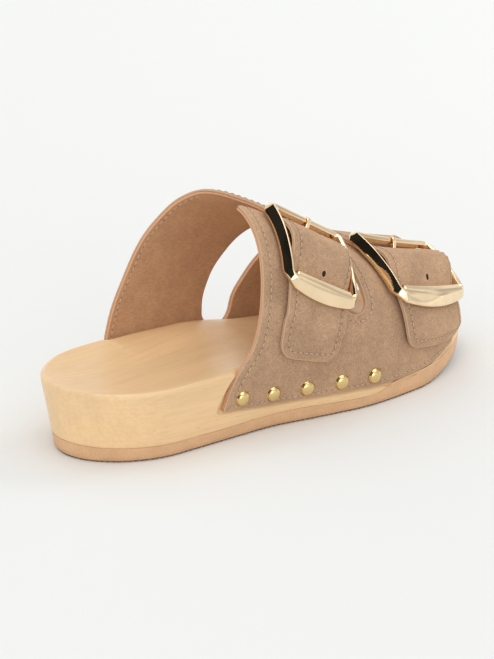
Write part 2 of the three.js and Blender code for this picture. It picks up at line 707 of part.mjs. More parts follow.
// Where a station lies on one side at a share of the way from hem to rim, so that its cuts line up.
function stationAlong(station, side, rise) {
  const { rear, front } = cutEnds(side, rise);
  const cut = RABBET_RAMP / SOLE_LENGTH;
  const from = [0, REAR_CUT - cut, REAR_CUT, FRONT_CUT, FRONT_CUT + cut, 1];
  const to = [0, rear - cut, rear, front, front + cut, 1];
  let i = 0;
  while (i < from.length - 2 && station > from[i + 1]) i += 1;
  return mix(to[i], to[i + 1], (station - from[i]) / (from[i + 1] - from[i]));
}

const inRabbet = (station) => station > REAR_CUT - 1e-6 && station < FRONT_CUT + 1e-6;

// Height of the footbed: across runs from -1 at the medial rim to 1 at the lateral rim.
function footbedZ(along, across) {
  const inside = 1 - Math.abs(across) ** 2.3;
  const cup = HEEL_CUP_DEPTH * cupShare(along) * inside;
  const arch = ARCH_RISE * archShare(along) * smooth(0.1, -0.75, across) * (1 - Math.abs(across) ** 6);
  const fromRidge = ((along - RIDGE_STATION) * SOLE_LENGTH) / (TOE_RIDGE_WIDTH / 2);
  const ridge = TOE_RIDGE_HEIGHT * Math.exp(-(fromRidge ** 2)) * (1 - across ** 2);
  return rimZ(along) - cup + arch + ridge;
}

const TOP_CELLS = 12;
const BOTTOM_CELLS = 3;
const SIDE_RISES = [1, 0.5, 0];
const LIP = 0.8;

// One station's ring: over the footbed, down the lateral side, under and up the medial side.
function woodRing(station) {
  const ring = [];
  const cut = inRabbet(station) ? RABBET_DEPTH : 0;
  const rim = (side) => {
    const along = stationAlong(station, side, 1);
    return { along, point: sidePoint(along, side, -cut - RIM_ROUND, rimZ(along)) };
  };
  const medial = rim(-1);
  const lateral = rim(1);
  for (let i = 0; i <= TOP_CELLS; i += 1) {
    const share = (1 - Math.cos((Math.PI * i) / TOP_CELLS)) / 2;
    const along = mix(medial.along, lateral.along, share);
    const point = medial.point.clone().lerp(lateral.point, share);
    point.z = footbedZ(along, share * 2 - 1);
    ring.push(point);
  }
  const sideLevels = (side) => {
    const levels = SIDE_RISES.map((rise) => {
      const along = stationAlong(station, side, rise);
      const z = mix(hemZ(along) - GAP, rimZ(along) - RIM_ROUND, rise);
      return leaningSide(along, side, -cut, z);
    });
    const along = stationAlong(station, side, 0);
    levels.push(leaningSide(along, side, 0, hemZ(along) - GAP - cut * LIP - 0.2));
    levels.push(leaningSide(along, side, 0, outsoleZ(along)));
    return levels;
  };
  ring.push(...sideLevels(1));
  const lateralAlong = stationAlong(station, 1, 0);
  const medialAlong = stationAlong(station, -1, 0);
  for (let i = 1; i < BOTTOM_CELLS; i += 1) {
    const start = ring[ring.length - i];
    const share = i / BOTTOM_CELLS;
    const along = mix(lateralAlong, medialAlong, share);
    const end = leaningSide(medialAlong, -1, 0, outsoleZ(medialAlong));
    const point = start.clone().lerp(end, share);
    point.z = outsoleZ(along);
    ring.push(point);
  }
  ring.push(...sideLevels(-1).reverse());
  return ring;
}

const woodSole = () => loftSolid(stations().map(woodRing));

// Outsole: a thin layer under the wood with a small chamfer at the floor.
function outsoleRing(station) {
  const edge = (side, inset, height) => {
    const along = stationAlong(station, side, 0);
    const z = height(along);
    return sidePoint(along, side, -flareAt(along, z) - inset, z);
  };
  const top = (along) => outsoleZ(along) - GAP;
  const chamfer = (along) => floorZ(along) + FLOOR_CHAMFER;
  const across = (from, to, height) => Array.from({ length: BOTTOM_CELLS - 1 }, (_, i) => {
    const share = (i + 1) / BOTTOM_CELLS;
    const side = from.side;
    const along = mix(stationAlong(station, side, 0), stationAlong(station, -side, 0), share);
    const point = from.point.clone().lerp(to.point, share);
    point.z = height(along);
    return point;
  });
  const corner = (side, inset, height) => ({ side, point: edge(side, inset, height) });
  const topMedial = corner(-1, 0, top);
  const topLateral = corner(1, 0, top);
  const lowLateral = corner(1, FLOOR_CHAMFER, floorZ);
  const lowMedial = corner(-1, FLOOR_CHAMFER, floorZ);
  return [
    topMedial.point,
    ...across(topMedial, topLateral, top),
    topLateral.point,
    edge(1, 0, chamfer),
    lowLateral.point,
    ...across(lowLateral, lowMedial, floorZ),
    lowMedial.point,
    edge(-1, 0, chamfer),
  ];
}

const outsole = () => loftSolid(stations().map(outsoleRing));

// Studs

const STUD_SEGMENTS = 12;
const STUD_ARCS = 4;
const STUD_LATERAL_START = 0.309;
const STUD_MEDIAL_START = 0.275;

// A domed head on a flat base, turned about its axis.
function studGeometry() {
  const radius = STUD_DIAMETER / 2;
  const profile = [new THREE.Vector2(0, 0)];
  for (let i = 0; i <= STUD_ARCS; i += 1) {
    const angle = ((Math.PI / 2) * i) / STUD_ARCS;
    const out = i === STUD_ARCS ? 0 : radius * Math.cos(angle);
    profile.push(new THREE.Vector2(out, STUD_HEIGHT * Math.sin(angle)));
  }
  const turned = new THREE.LatheGeometry(profile, STUD_SEGMENTS);
  turned.deleteAttribute('normal');
  turned.deleteAttribute('uv');
  return solidGeometry(Array.from(turned.toNonIndexed().attributes.position.array));
}

function addStuds(group, material) {
  const geometry = studGeometry();
  const axis = new THREE.Vector3(0, 1, 0);
  const sides = [['lateral', STUD_LATERAL_START, 1], ['medial', STUD_MEDIAL_START, -1]];
  sides.forEach(([name, start, side]) => {
    for (let i = 0; i < STUD_COUNT; i += 1) {
      const along = start + (i * STUD_PITCH) / SOLE_LENGTH;
      const reach = STUD_RISE / archSection(along).total;
      const around = side > 0 ? reach : 1 - reach;
      const stud = new THREE.Mesh(geometry, material);
      stud.name = `${name}_stud_${i + 1}`;
      stud.position.copy(wallPoint(along, around, SEAT));
      stud.quaternion.setFromUnitVectors(axis, wallNormal(along, around));
      group.add(stud);
    }
  });
}

// Assembly

const finish = (color, roughness, metalness) => new THREE.MeshStandardMaterial({ color, roughness, metalness });
const beech = finish(0xe3bf8a, 0.55, 0);
const treadRubber = finish(0xc39a6b, 0.8, 0);
const suede = finish(0xb0957c, 0.95, 0);
const paleGold = finish(0xe6cfa6, 0.2, 1);
const brass = finish(0xd9b45a, 0.3, 1);

const shoe = new THREE.Group();

function addPiece(name, geometry, material) {
  const piece = new THREE.Mesh(geometry, material);
  piece.name = name;
  shoe.add(piece);
}

addPiece('outsole', outsole(), treadRubber);
addPiece('wood_sole', woodSole(), beech);
addPiece('upper', fromManifold(upperSolid()), suede);
STRAPS.forEach((strap) => {
  const keeper = toManifold(keeperSheet(strap)).subtract(toManifold(prongRod(strap, GAP)));
  addPiece(`${strap.name}_keeper`, fromManifold(keeper), suede);
  addPiece(`${strap.name}_buckle`, buckleFrame(strap), paleGold);
  addPiece(`${strap.name}_prong`, prongRod(strap, 0), paleGold);
});
addStuds(shoe, brass);

export default shoe;
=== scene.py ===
# A right-foot mule: suede straps, polished buckles and a wooden sole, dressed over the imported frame.
# Metres, +X to the lateral side, +Y to the toe, +Z up, with the origin on the floor.

import math

import bmesh
import bpy
import numpy as np
from bpy.props import FloatProperty, FloatVectorProperty, PointerProperty
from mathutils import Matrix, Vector


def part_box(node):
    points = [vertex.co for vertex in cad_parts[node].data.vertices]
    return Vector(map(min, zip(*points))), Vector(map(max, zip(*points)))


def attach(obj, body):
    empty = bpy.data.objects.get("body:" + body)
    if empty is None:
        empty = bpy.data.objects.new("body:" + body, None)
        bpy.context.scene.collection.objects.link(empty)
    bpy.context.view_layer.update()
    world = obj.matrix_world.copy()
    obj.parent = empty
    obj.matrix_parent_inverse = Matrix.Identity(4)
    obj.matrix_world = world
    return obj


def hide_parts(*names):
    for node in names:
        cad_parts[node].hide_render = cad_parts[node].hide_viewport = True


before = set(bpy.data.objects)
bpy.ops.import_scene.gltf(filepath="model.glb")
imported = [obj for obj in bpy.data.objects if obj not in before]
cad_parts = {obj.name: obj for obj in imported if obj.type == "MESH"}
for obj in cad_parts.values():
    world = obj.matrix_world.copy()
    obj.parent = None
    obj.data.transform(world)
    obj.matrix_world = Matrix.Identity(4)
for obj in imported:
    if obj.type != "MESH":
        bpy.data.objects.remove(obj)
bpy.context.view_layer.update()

bl_info = {
    "name": "Buckled mule",
    "version": (1, 0, 0),
    "blender": (4, 5, 0),
    "location": "View3D > Sidebar > Mule",
    "description": "Makes a wooden-soled suede mule around its packed frame",
    "category": "Add Mesh",
}

MM = 0.001
BODY = "root"


def mm(value):
    """Millimetres as metres."""
    return value * MM


def srgb(code):
    """A hex colour as linear red, green and blue."""
    shares = [int(code[i:i + 2], 16) / 255 for i in (0, 2, 4)]
    return tuple(s / 12.92 if s <= 0.04045 else ((s + 0.055) / 1.055) ** 2.4 for s in shares)


def size(text, value):
    """A length property, given in millimetres."""
    return FloatProperty(name=text.split(",")[0].capitalize(), description=text.capitalize(),
                         default=mm(value), unit="LENGTH", precision=5)


def colour(text, code):
    """A colour property, given as a hex value."""
    return FloatVectorProperty(name=text.capitalize(), description=f"Colour of the {text}",
                               default=srgb(code), subtype="COLOR", size=3, min=0.0, max=1.0)


# Sizes and colours that a user would change

class SoleSizes(bpy.types.PropertyGroup):
    """Sizes of the wooden sole and the outsole."""
    length: size("length of the sole, heel to toe", 249.5)
    ball_width: size("width at the ball", 92)
    rim_height: size("height of the rim at the heel", 34.5)
    outsole: size("thickness of the outsole", 7)
    toe_spring: size("toe spring", 11)
    heel_round: size("rounding of the heel in plan", 42)
    toe_round: size("rounding of the toe in plan", 62)
    toe_shift: size("shift of the toe to the medial side", 6)
    side_flare: size("how far the heel's rim stands out over the floor", 5.6)
    heel_cup: size("depth of the heel cup", 6)
    ridge_height: size("height of the toe ridge", 3.5)
    ridge_width: size("width of the toe ridge", 16)
    arch_rise: size("rise of the arch", 3)
    rim_round: size("rounding of the rim", 2.4)
    rabbet: size("depth of the rabbet that takes the hem", 2.4)
    tread_pitch: size("pitch of the tread's ribs", 2.6)
    tread_height: size("height of the tread's ribs", 0.9)


class UpperSizes(bpy.types.PropertyGroup):
    """Sizes of the leather pieces."""
    instep: size("height of the instep inside", 103.5)
    wall: size("thickness of the upper", 2.8)
    strap: size("thickness of a strap", 2.4)
    keeper: size("thickness of a keeper", 1.2)
    keeper_reach: size("reach of a keeper above the bar", 8.5)
    keeper_tail: size("length of a keeper below the bar", 30)
    tab_corner: size("rounding of a tab's corners", 7)
    side_clearance: size("gap between a strap and the side rails", 0.95)
    gap: size("gap between pieces that lie on each other", 0.3)
    rail_spare: size("further gap under a buckle's rails", 0.25)
    pillow: size("swell of a strap across its bulge", 1.4)


class BuckleSizes(bpy.types.PropertyGroup):
    """Sizes of the buckles, prongs and studs."""
    corner: size("rounding of a frame's corners", 5.2)
    side_face: size("width of a side rail", 3.2)
    top_face: size("width of the top rail", 4)
    lower_face: size("width of the lower rail at its ends", 5.4)
    lower_arch: size("arch of the lower rail's outer edge", 2.6)
    depth: size("depth of the top and lower rails", 3.4)
    side_depth: size("depth of a side rail", 5.4)
    top_lift: size("further height of the top rail", 0.8)
    bar: size("diameter of a bar", 2.6)
    bar_lift: size("height of a bar over the upper", 2)
    prong: size("diameter of a prong", 2.4)
    stud: size("diameter of a stud", 7.5)
    stud_height: size("height of a stud", 2.2)


class ThreadSizes(bpy.types.PropertyGroup):
    """Sizes of the stitching."""
    stitch: size("length of a stitch", 2.1)
    pitch: size("stitch pitch", 3.1)
    thread: size("diameter of the thread", 0.62)
    margin: size("distance of the stitching from an edge", 3.0)


class MuleColours(bpy.types.PropertyGroup):
    """Colours of the materials."""
    suede: colour("suede", "cba788")
    lining: colour("lining", "cfa480")
    suede_edge: colour("cut edge of the suede", "cdac8c")
    raw_edge: colour("raw edge of the lining", "e0ab84")
    beech: colour("beech", "f4cf9e")
    outsole: colour("outsole", "e3b78c")
    tread: colour("tread", "94755a")
    gold: colour("pale gold", "f8deb8")
    brass: colour("brass", "e3c78b")
    thread: colour("thread", "cdb296")
    # Needle holes: partly the darker pressed suede, partly painted shade inside the holes.
    needle: colour("needle holes", "86694f")
    # Painted shade: the colour of the dark discs that stand in for the punched holes' shaded insides.
    hole: colour("punched holes", "4a3626")
    floor: colour("floor", "f1f2f1")


# Curves and tables

def table(names, *rows):
    """Named columns from rows."""
    return dict(zip(names.split(), np.array(rows, float).T))


def smooth(low, high, value):
    """A smooth step from 0 at low to 1 at high."""
    t = np.clip((value - low) / (high - low), 0, 1)
    return t * t * (3 - 2 * t)


def mix(a, b, t):
    """From a to b by the share t."""
    return a + (b - a) * t


def round_end(distance, radius):
    """How wide a rounded end has become at a distance from its tip."""
    t = np.clip(distance / radius, 0, 1)
    return np.sqrt(1 - (1 - t) ** 2)


def column(rows, key, name):
    """A smooth curve through one column of a table, read at places along its key column."""
    xs = rows[key]
    ys = rows[name]
    steps = np.diff(ys) / np.diff(xs)
    product = steps[:-1] * steps[1:]
    total = steps[:-1] + steps[1:]
    inner = np.where(product > 0, 2 * product / np.where(product > 0, total, 1), 0)
    slopes = np.concatenate(([steps[0]], inner, [steps[-1]]))

    def curve(x):
        at = np.clip(x, xs[0], xs[-1])
        i = np.clip(np.searchsorted(xs, at, side="right") - 1, 0, len(xs) - 2)
        span = xs[i + 1] - xs[i]
        t = (at - xs[i]) / span
        start = (1 + 2 * t) * (1 - t) ** 2 * ys[i] + t * (1 - t) ** 2 * span * slopes[i]
        end = t * t * (3 - 2 * t) * ys[i + 1] + t * t * (t - 1) * span * slopes[i + 1]
        return start + end

    return curve


def unit(vectors):
    """Vectors of length one."""
    return vectors / np.maximum(np.linalg.norm(vectors, axis=-1, keepdims=True), 1e-12)


# Plan of the sole, in half ball widths, from the heel at 0 to the toe at 1.
PLAN = table(
    "along lateral medial",
    (0.00, 0.790, 0.790),
    (0.12, 0.830, 0.810),
    (0.25, 0.855, 0.815),
    (0.38, 0.880, 0.780),
    (0.50, 0.975, 0.795),
    (0.62, 1.030, 0.880),
    (0.74, 0.990, 0.965),
    (0.86, 0.875, 0.980),
    (1.00, 0.760, 0.990),
)

# Side view of the sole: rim and hem in rim heights, outsole in its thicknesses, flare in side flares,
# cup in heel cup depths and arch in arch rises.
PROFILE = table(
    "along rim hem outsole flare cup arch",
    (0.00, 1.00, 0.500, 1.15, 1.00, 0.00, 0.0),
    (0.06, 1.00, 0.500, 1.05, 1.00, 0.70, 0.0),
    (0.14, 1.00, 0.500, 1.00, 1.00, 1.00, 0.0),
    (0.28, 1.00, 0.470, 0.95, 1.00, 0.95, 0.4),
    (0.38, 0.99, 0.390, 1.00, 1.00, 0.80, 1.0),
    (0.46, 0.92, 0.365, 1.02, 0.95, 0.65, 1.0),
    (0.54, 0.80, 0.345, 0.90, 0.75, 0.50, 0.6),
    (0.62, 0.70, 0.315, 0.82, 0.45, 0.45, 0.2),
    (0.68, 0.63, 0.300, 1.30, 0.38, 0.45, 0.0),
    (0.76, 0.60, 0.330, 1.45, 0.36, 0.45, 0.0),
    (0.84, 0.62, 0.400, 1.55, 0.36, 0.45, 0.0),
    (0.93, 0.69, 0.480, 1.90, 0.36, 0.40, 0.0),
    (1.00, 0.78, 0.580, 2.40, 0.36, 0.00, 0.0),
)

# Section over the foot: crown in instep heights, out in half ball widths, and how boxy the arch is.
ARCH = table(
    "along crown out square",
    (0.15, 1.140, -0.10, 2.70),
    (0.30, 1.060, -0.10, 2.70),
    (0.37, 1.000, -0.10, 2.70),
    (0.46, 0.905, -0.10, 2.65),
    (0.55, 0.790, -0.12, 2.55),
    (0.63, 0.700, -0.15, 2.50),
    (0.69, 0.640, -0.18, 2.45),
    (0.78, 0.575, -0.20, 2.40),
    (0.87, 0.515, -0.20, 2.40),
    (0.95, 0.460, -0.20, 2.40),
)

# Edges of the lateral piece, as places along the sole at each place around the section.
LATERAL_EDGES = table(
    "around rear slot_back slot_front front",
    (0.000, 0.268, 0.547, 0.607, 0.875),
    (0.045, 0.283, 0.547, 0.607, 0.890),
    (0.086, 0.305, 0.547, 0.607, 0.900),
    (0.128, 0.335, 0.547, 0.607, 0.905),
    (0.180, 0.352, 0.547, 0.607, 0.905),
    (0.250, 0.366, 0.547, 0.610, 0.905),
    (0.330, 0.380, 0.555, 0.611, 0.900),
    (0.400, 0.392, 0.575, 0.620, 0.893),
    (0.480, 0.409, 0.590, 0.645, 0.880),
)

# Edges of the medial piece, which crosses over the lateral piece's ends.
MEDIAL_EDGES = table(
    "around rear slot_back slot_front front",
    (0.480, 0.416, 0.598, 0.648, 0.890),
    (0.520, 0.396, 0.592, 0.656, 0.890),
    (0.560, 0.383, 0.585, 0.660, 0.890),
    (0.640, 0.350, 0.556, 0.655, 0.890),
    (0.720, 0.308, 0.520, 0.630, 0.890),
    (0.800, 0.275, 0.482, 0.588, 0.890),
    (0.870, 0.246, 0.464, 0.550, 0.885),
    (0.920, 0.232, 0.463, 0.542, 0.880),
    (1.000, 0.215, 0.463, 0.542, 0.860),
)

# The slot's two round ends and where each piece ends over the instep, as places around the section.
SLOT_LATERAL_END = 0.195
SLOT_MEDIAL_END = 0.93
SLOT_ROUND = 0.04
LATERAL_TOP = 0.465
CLIMB = (0.6, 0.52)
JOIN_END = 0.565

BALL_STATION = 0.74
RIDGE_STATION = 0.8
SPINE_START = 0.6

# Buckled straps: place of the bar's middle, and in degrees how far the way across leans down to the
# toe, how far the way up leans to it and how the tab's end slants. Then the length of the tab below
# the bar, and the width and length of the frame.
STRAPS = {
    "rear": {"along": 0.5, "around": 0.335, "tilt": 17.5, "lean": 14.5, "slant": -9,
             "tab": mm(47.7), "width": mm(40), "length": mm(38.5)},
    "front": {"along": 0.775, "around": 0.305, "tilt": 8.5, "lean": -5, "slant": 2,
              "tab": mm(36.5), "width": mm(54.5), "length": mm(35)},
}


class Last:
    """The form that the sole and the upper are built on, from the sizes in the panel."""

    HEM_STEPS = 8
    ARCH_STEPS = 150
    GRID_ALONG = (0.14, 0.97)
    GRID_SIZE = (260, 320)
    NORMAL_STEP = 0.012

    def __init__(self, scene):
        self.sole = scene.mule_sole
        self.upper = scene.mule_upper
        self.lateral = column(PLAN, "along", "lateral")
        self.medial = column(PLAN, "along", "medial")
        self.shares = {name: column(PROFILE, "along", name) for name in PROFILE if name != "along"}
        self.arch = {name: column(ARCH, "along", name) for name in ARCH if name != "along"}
        self.grid = self.make_grid()

    def rim_z(self, along):
        """Height of the sole's rim."""
        return self.sole.rim_height * self.shares["rim"](along)

    def hem_z(self, along):
        """Height of the upper's hem."""
        return self.sole.rim_height * self.shares["hem"](along)

    def joint_z(self, along):
        """Height of the joint between wood and outsole."""
        return self.sole.outsole * self.shares["outsole"](along)

    def floor_z(self, along):
        """Height of the outsole's underside, which springs up at the toe."""
        rise = np.clip((along - BALL_STATION) / (1 - BALL_STATION), 0, 1)
        return self.sole.toe_spring * rise ** 2

    def flare(self, along, z):
        """How far the side has leaned in at a height."""
        share = self.shares["flare"](along) * (self.rim_z(along) - z) / self.sole.rim_height
        return self.sole.side_flare * share

    def side(self, along, side, offset, z):
        """A point on the side of the sole: side is 1 for lateral and -1 for medial."""
        along, side, offset, z = np.broadcast_arrays(along, side, offset, z)
        width = np.where(side > 0, self.lateral(along), self.medial(along))
        half = width * self.sole.ball_width / 2 + offset
        spine = -self.sole.toe_shift * smooth(SPINE_START, 1, along)
        length = self.sole.length
        ends = round_end(along * length, self.sole.heel_round)
        ends = ends * round_end((1 - along) * length, self.sole.toe_round)
        x = spine + (side * half - spine) * ends
        y = -length / 2 - offset + along * (length + 2 * offset)
        return np.stack([x, y, z], axis=-1)

    def leaning(self, along, side, offset, z):
        """A point on the sole's side, which leans in on the way down."""
        return self.side(along, side, offset - self.flare(along, z), z)

    def footbed_z(self, along, across):
        """Height of the footbed, where across runs from -1 at the medial rim to 1 at the lateral rim."""
        inside = 1 - np.abs(across) ** 2.3
        cup = self.sole.heel_cup * self.shares["cup"](along) * inside
        medial = smooth(0.1, -0.75, across) * (1 - np.abs(across) ** 6)
        arch = self.sole.arch_rise * self.shares["arch"](along) * medial
        from_ridge = (along - RIDGE_STATION) * self.sole.length / (self.sole.ridge_width / 2)
        ridge = self.sole.ridge_height * np.exp(-from_ridge ** 2) * (1 - across ** 2)
        return self.rim_z(along) - cup + arch + ridge

    def section(self, along):
        """One section of the upper's inside, from the lateral hem over the crown to the medial hem."""
        rim = self.rim_z(along)
        hem = self.hem_z(along)
        inside = self.upper.gap - self.sole.rabbet
        crown = self.upper.instep * self.arch["crown"](along)
        crown_x = self.arch["out"](along) * self.sole.ball_width / 2
        power = 2 / self.arch["square"](along)
        rise = mix(hem, rim, np.arange(self.HEM_STEPS) / self.HEM_STEPS)
        angle = np.pi * np.linspace(0, 1, self.ARCH_STEPS + 1)
        feet = self.side(along, np.where(angle < np.pi / 2, 1, -1), inside, rim)
        reach = np.abs(np.cos(angle)) ** power
        lift = np.abs(np.sin(angle)) ** power
        arch = np.stack([mix(crown_x, feet[:, 0], reach), feet[:, 1], mix(rim, crown, lift)], axis=-1)
        lateral = self.leaning(along, 1, inside, rise)
        medial = self.leaning(along, -1, inside, rise[::-1])
        return np.concatenate([lateral, arch, medial])

    def make_grid(self):
        """The upper's inside on an even grid of places along the sole and around the section."""
        around = np.linspace(0, 1, self.GRID_SIZE[1])
        rows = []
        self.totals = []
        for along in np.linspace(*self.GRID_ALONG, self.GRID_SIZE[0]):
            points = self.section(along)
            steps = np.linalg.norm(np.diff(points, axis=0), axis=1)
            lengths = np.concatenate(([0], np.cumsum(steps)))
            self.totals.append(lengths[-1])
            rows.append(np.stack([np.interp(around * lengths[-1], lengths, points[:, i])
                                  for i in range(3)], axis=-1))
        return np.array(rows)

    def total(self, along):
        """Length over the section from hem to hem."""
        return np.interp(along, np.linspace(*self.GRID_ALONG, self.GRID_SIZE[0]), self.totals)

    def inside(self, along, around):
        """A point on the upper's inside, read from the grid by a smooth curve each way."""
        along, around = np.broadcast_arrays(along, around)
        rows, columns = self.GRID_SIZE
        start, end = self.GRID_ALONG
        u = np.clip((along - start) / (end - start), 0, 1) * (rows - 1)
        v = np.clip(around, 0, 1) * (columns - 1)
        result = np.zeros(along.shape + (3,))
        for (i, weight_u) in smooth_weights(u, rows):
            for (j, weight_v) in smooth_weights(v, columns):
                result += self.grid[i, j] * (weight_u * weight_v)[..., None]
        return result

    def normal(self, along, around):
        """The direction out of the upper."""
        step = self.NORMAL_STEP
        forward = self.inside(along + step, around) - self.inside(along - step, around)
        over = self.inside(along, around + step) - self.inside(along, around - step)
        return unit(np.cross(forward, over))

    def wall(self, along, around, height):
        """A point at a height above the upper's inside, square to it."""
        along, around, height = np.broadcast_arrays(along, around, height)
        return self.inside(along, around) + self.normal(along, around) * height[..., None]


def smooth_weights(place, count):
    """The four grid lines around each place, each with its weight on a smooth curve."""
    base = np.clip(np.floor(place).astype(int), 0, count - 2)
    t = place - base
    weights = (
        -0.5 * t + t ** 2 - 0.5 * t ** 3,
        1 - 2.5 * t ** 2 + 1.5 * t ** 3,
        0.5 * t + 2 * t ** 2 - 1.5 * t ** 3,
        -0.5 * t ** 2 + 0.5 * t ** 3,
    )
    return [(np.clip(base + k - 1, 0, count - 1), weight) for k, weight in enumerate(weights)]


# Meshes

class Shape:
    """Points and faces of one piece, gathered before its mesh is made."""

    def __init__(self):
        self.points = []
        self.faces = []
        self.slots = []
        self.count = 0

    def add(self, points, faces, slot=0):
        """Adds points, and faces counted from the first of them."""
        points = np.asarray(points, float).reshape(-1, 3)
        self.points.append(points)
        self.faces.extend((np.asarray(face) + self.count).tolist() for face in faces)
        self.slots.extend([slot] * len(faces))
        self.count += len(points)

    def mesh(self, name, *finishes):
        """Makes the object in its finishes, with shared corners welded."""
        mesh = bpy.data.meshes.new(name)
        mesh.from_pydata(np.concatenate(self.points).tolist(), [], self.faces)
        for finish_name in finishes:
            mesh.materials.append(finish(finish_name))
        mesh.polygons.foreach_set("material_index", self.slots)
        mesh.polygons.foreach_set("use_smooth", [True] * len(mesh.polygons))
        weld(mesh)
        piece = bpy.data.objects.new(name, mesh)
        bpy.context.scene.collection.objects.link(piece)
        return piece


WELD_DISTANCE = 2e-6


def weld(mesh):
    """Joins corners that lie on each other and drops faces without area."""
    work = bmesh.new()
    work.from_mesh(mesh)
    bmesh.ops.remove_doubles(work, verts=work.verts, dist=WELD_DISTANCE)
    bmesh.ops.dissolve_degenerate(work, edges=work.edges, dist=WELD_DISTANCE)
    work.to_mesh(mesh)
    work.free()


def grid_faces(rows, columns, wrap=False):
    """Quads between the points of a grid, with its columns joined round if asked."""
    index = np.arange(rows * columns).reshape(rows, columns)
    after = np.roll(index, -1, axis=1)
    if not wrap:
        index, after = index[:, :-1], after[:, :-1]
    quads = np.stack([index[:-1], after[:-1], after[1:], index[1:]], axis=-1)
    return quads.reshape(-1, 4)


def loft(shape, rings, closed=False, caps=True):
    """Adds a tube through rings with equal numbers of points, closed on itself or at its two ends."""
    rings = np.asarray(rings)
    if closed:
        rings = np.concatenate([rings, rings[:1]])
    elif caps:
        ends = [np.broadcast_to(ring.mean(axis=0), ring.shape) for ring in (rings[0], rings[-1])]
        rings = np.concatenate([ends[0][None], rings, ends[1][None]])
    count, around, _ = rings.shape
    shape.add(rings, grid_faces(count, around, wrap=True))


def sweep_rings(axis, up, radii, sides):
    """Round rings along an axis, with radii across and upright at each place."""
    tangent = unit(np.gradient(axis, axis=0))
    sideways = unit(np.cross(up, tangent))
    upright = np.cross(tangent, sideways)
    angle = 2 * np.pi * (np.arange(sides) + 0.5) / sides
    radii = np.asarray(radii, float)
    if radii.ndim == 1:
        radii = np.stack([radii, radii], axis=-1)
    ring = sideways[:, None] * (np.cos(angle)[None, :, None] * radii[:, 0, None, None])
    ring = ring + upright[:, None] * (np.sin(angle)[None, :, None] * radii[:, 1, None, None])
    return axis[:, None] + ring


# The cut edge of two layers of leather: height share from outside to inside, how far it stands out
# in millimetres, and the layer. The slit between the layers goes in.
LAYERED_EDGE = table(
    "height out layer",
    (1.00, 0.00, 0),
    (0.95, 0.26, 0),
    (0.84, 0.42, 0),
    (0.64, 0.42, 0),
    (0.56, 0.26, 0),
    (0.52, -0.70, 0),
    (0.48, -0.70, 1),
    (0.44, 0.20, 1),
    (0.36, 0.34, 1),
    (0.14, 0.34, 1),
    (0.05, 0.20, 1),
    (0.00, 0.00, 1),
)


def leather(shape, outer, inner, keep):
    """Adds a sheet of two layers: its outer face, its inner face and their two cut edges."""
    rows, columns, _ = outer.shape
    index = np.arange(rows * columns).reshape(rows, columns)
    cells = grid_faces(rows, columns).reshape(rows - 1, columns - 1, 4)[keep]
    shape.add(outer, cells, 0)
    shape.add(inner, cells[:, ::-1], 1)
    padded = np.pad(keep, 1)
    inside = padded[1:-1, 1:-1]
    borders = []
    for (dr, dc, first, second) in ((-1, 0, (0, 0), (0, 1)), (1, 0, (1, 1), (1, 0)),
                                    (0, -1, (1, 0), (0, 0)), (0, 1, (0, 1), (1, 1))):
        other = padded[1 + dr:1 + dr + rows - 1, 1 + dc:1 + dc + columns - 1]
        r, c = np.nonzero(inside & ~other)
        borders.append(np.stack([index[r + first[0], c + first[1]],
                                 index[r + second[0], c + second[1]]], axis=-1))
    borders = np.concatenate(borders)
    add_edge(shape, outer.reshape(-1, 3), inner.reshape(-1, 3), borders)


def add_edge(shape, outer, inner, borders):
    """Adds the layered edge along the border's directed edges."""
    lengths = np.linalg.norm(outer[borders[:, 1]] - outer[borders[:, 0]], axis=1)
    borders = borders[lengths > WELD_DISTANCE]
    direction = unit(outer[borders[:, 1]] - outer[borders[:, 0]])
    up = unit(outer - inner)
    outward = np.zeros_like(outer)
    for end in (0, 1):
        np.add.at(outward, borders[:, end], np.cross(direction, up[borders[:, end]]))
    outward = unit(outward)
    used, places = np.unique(borders, return_inverse=True)
    places = places.reshape(borders.shape)
    heights = LAYERED_EDGE["height"][:, None, None]
    stand = LAYERED_EDGE["out"][:, None, None] * MM
    rings = inner[used] + (outer[used] - inner[used]) * heights + outward[used] * stand
    count = len(used)
    for layer in (0, 1):
        faces = []
        for k in range(len(heights) - 1):
            if LAYERED_EDGE["layer"][k + 1] != layer:
                continue
            a = places[:, 0] + k * count
            b = places[:, 1] + k * count
            faces.append(np.stack([b, a, a + count, b + count], axis=-1))
        shape.add(rings, np.concatenate(faces), (SUEDE_EDGE, RAW_EDGE)[layer])


NEAR_EDGE = np.array([0, 0.7, 1.5, 2.3, 3.0, 3.8, 5.2]) * MM


def edge_shares(width, count):
    """Shares from 0 to 1 over each row's width, close together near both edges."""
    width = np.maximum(np.atleast_1d(width), mm(0.01))[:, None]
    near = np.minimum(NEAR_EDGE / width, NEAR_EDGE / NEAR_EDGE[-1] * 0.42)
    middle = mix(near[:, -1:], 1 - near[:, -1:], np.linspace(0, 1, count + 2)[None, 1:-1])
    return np.concatenate([near, middle, 1 - near[:, ::-1]], axis=1)


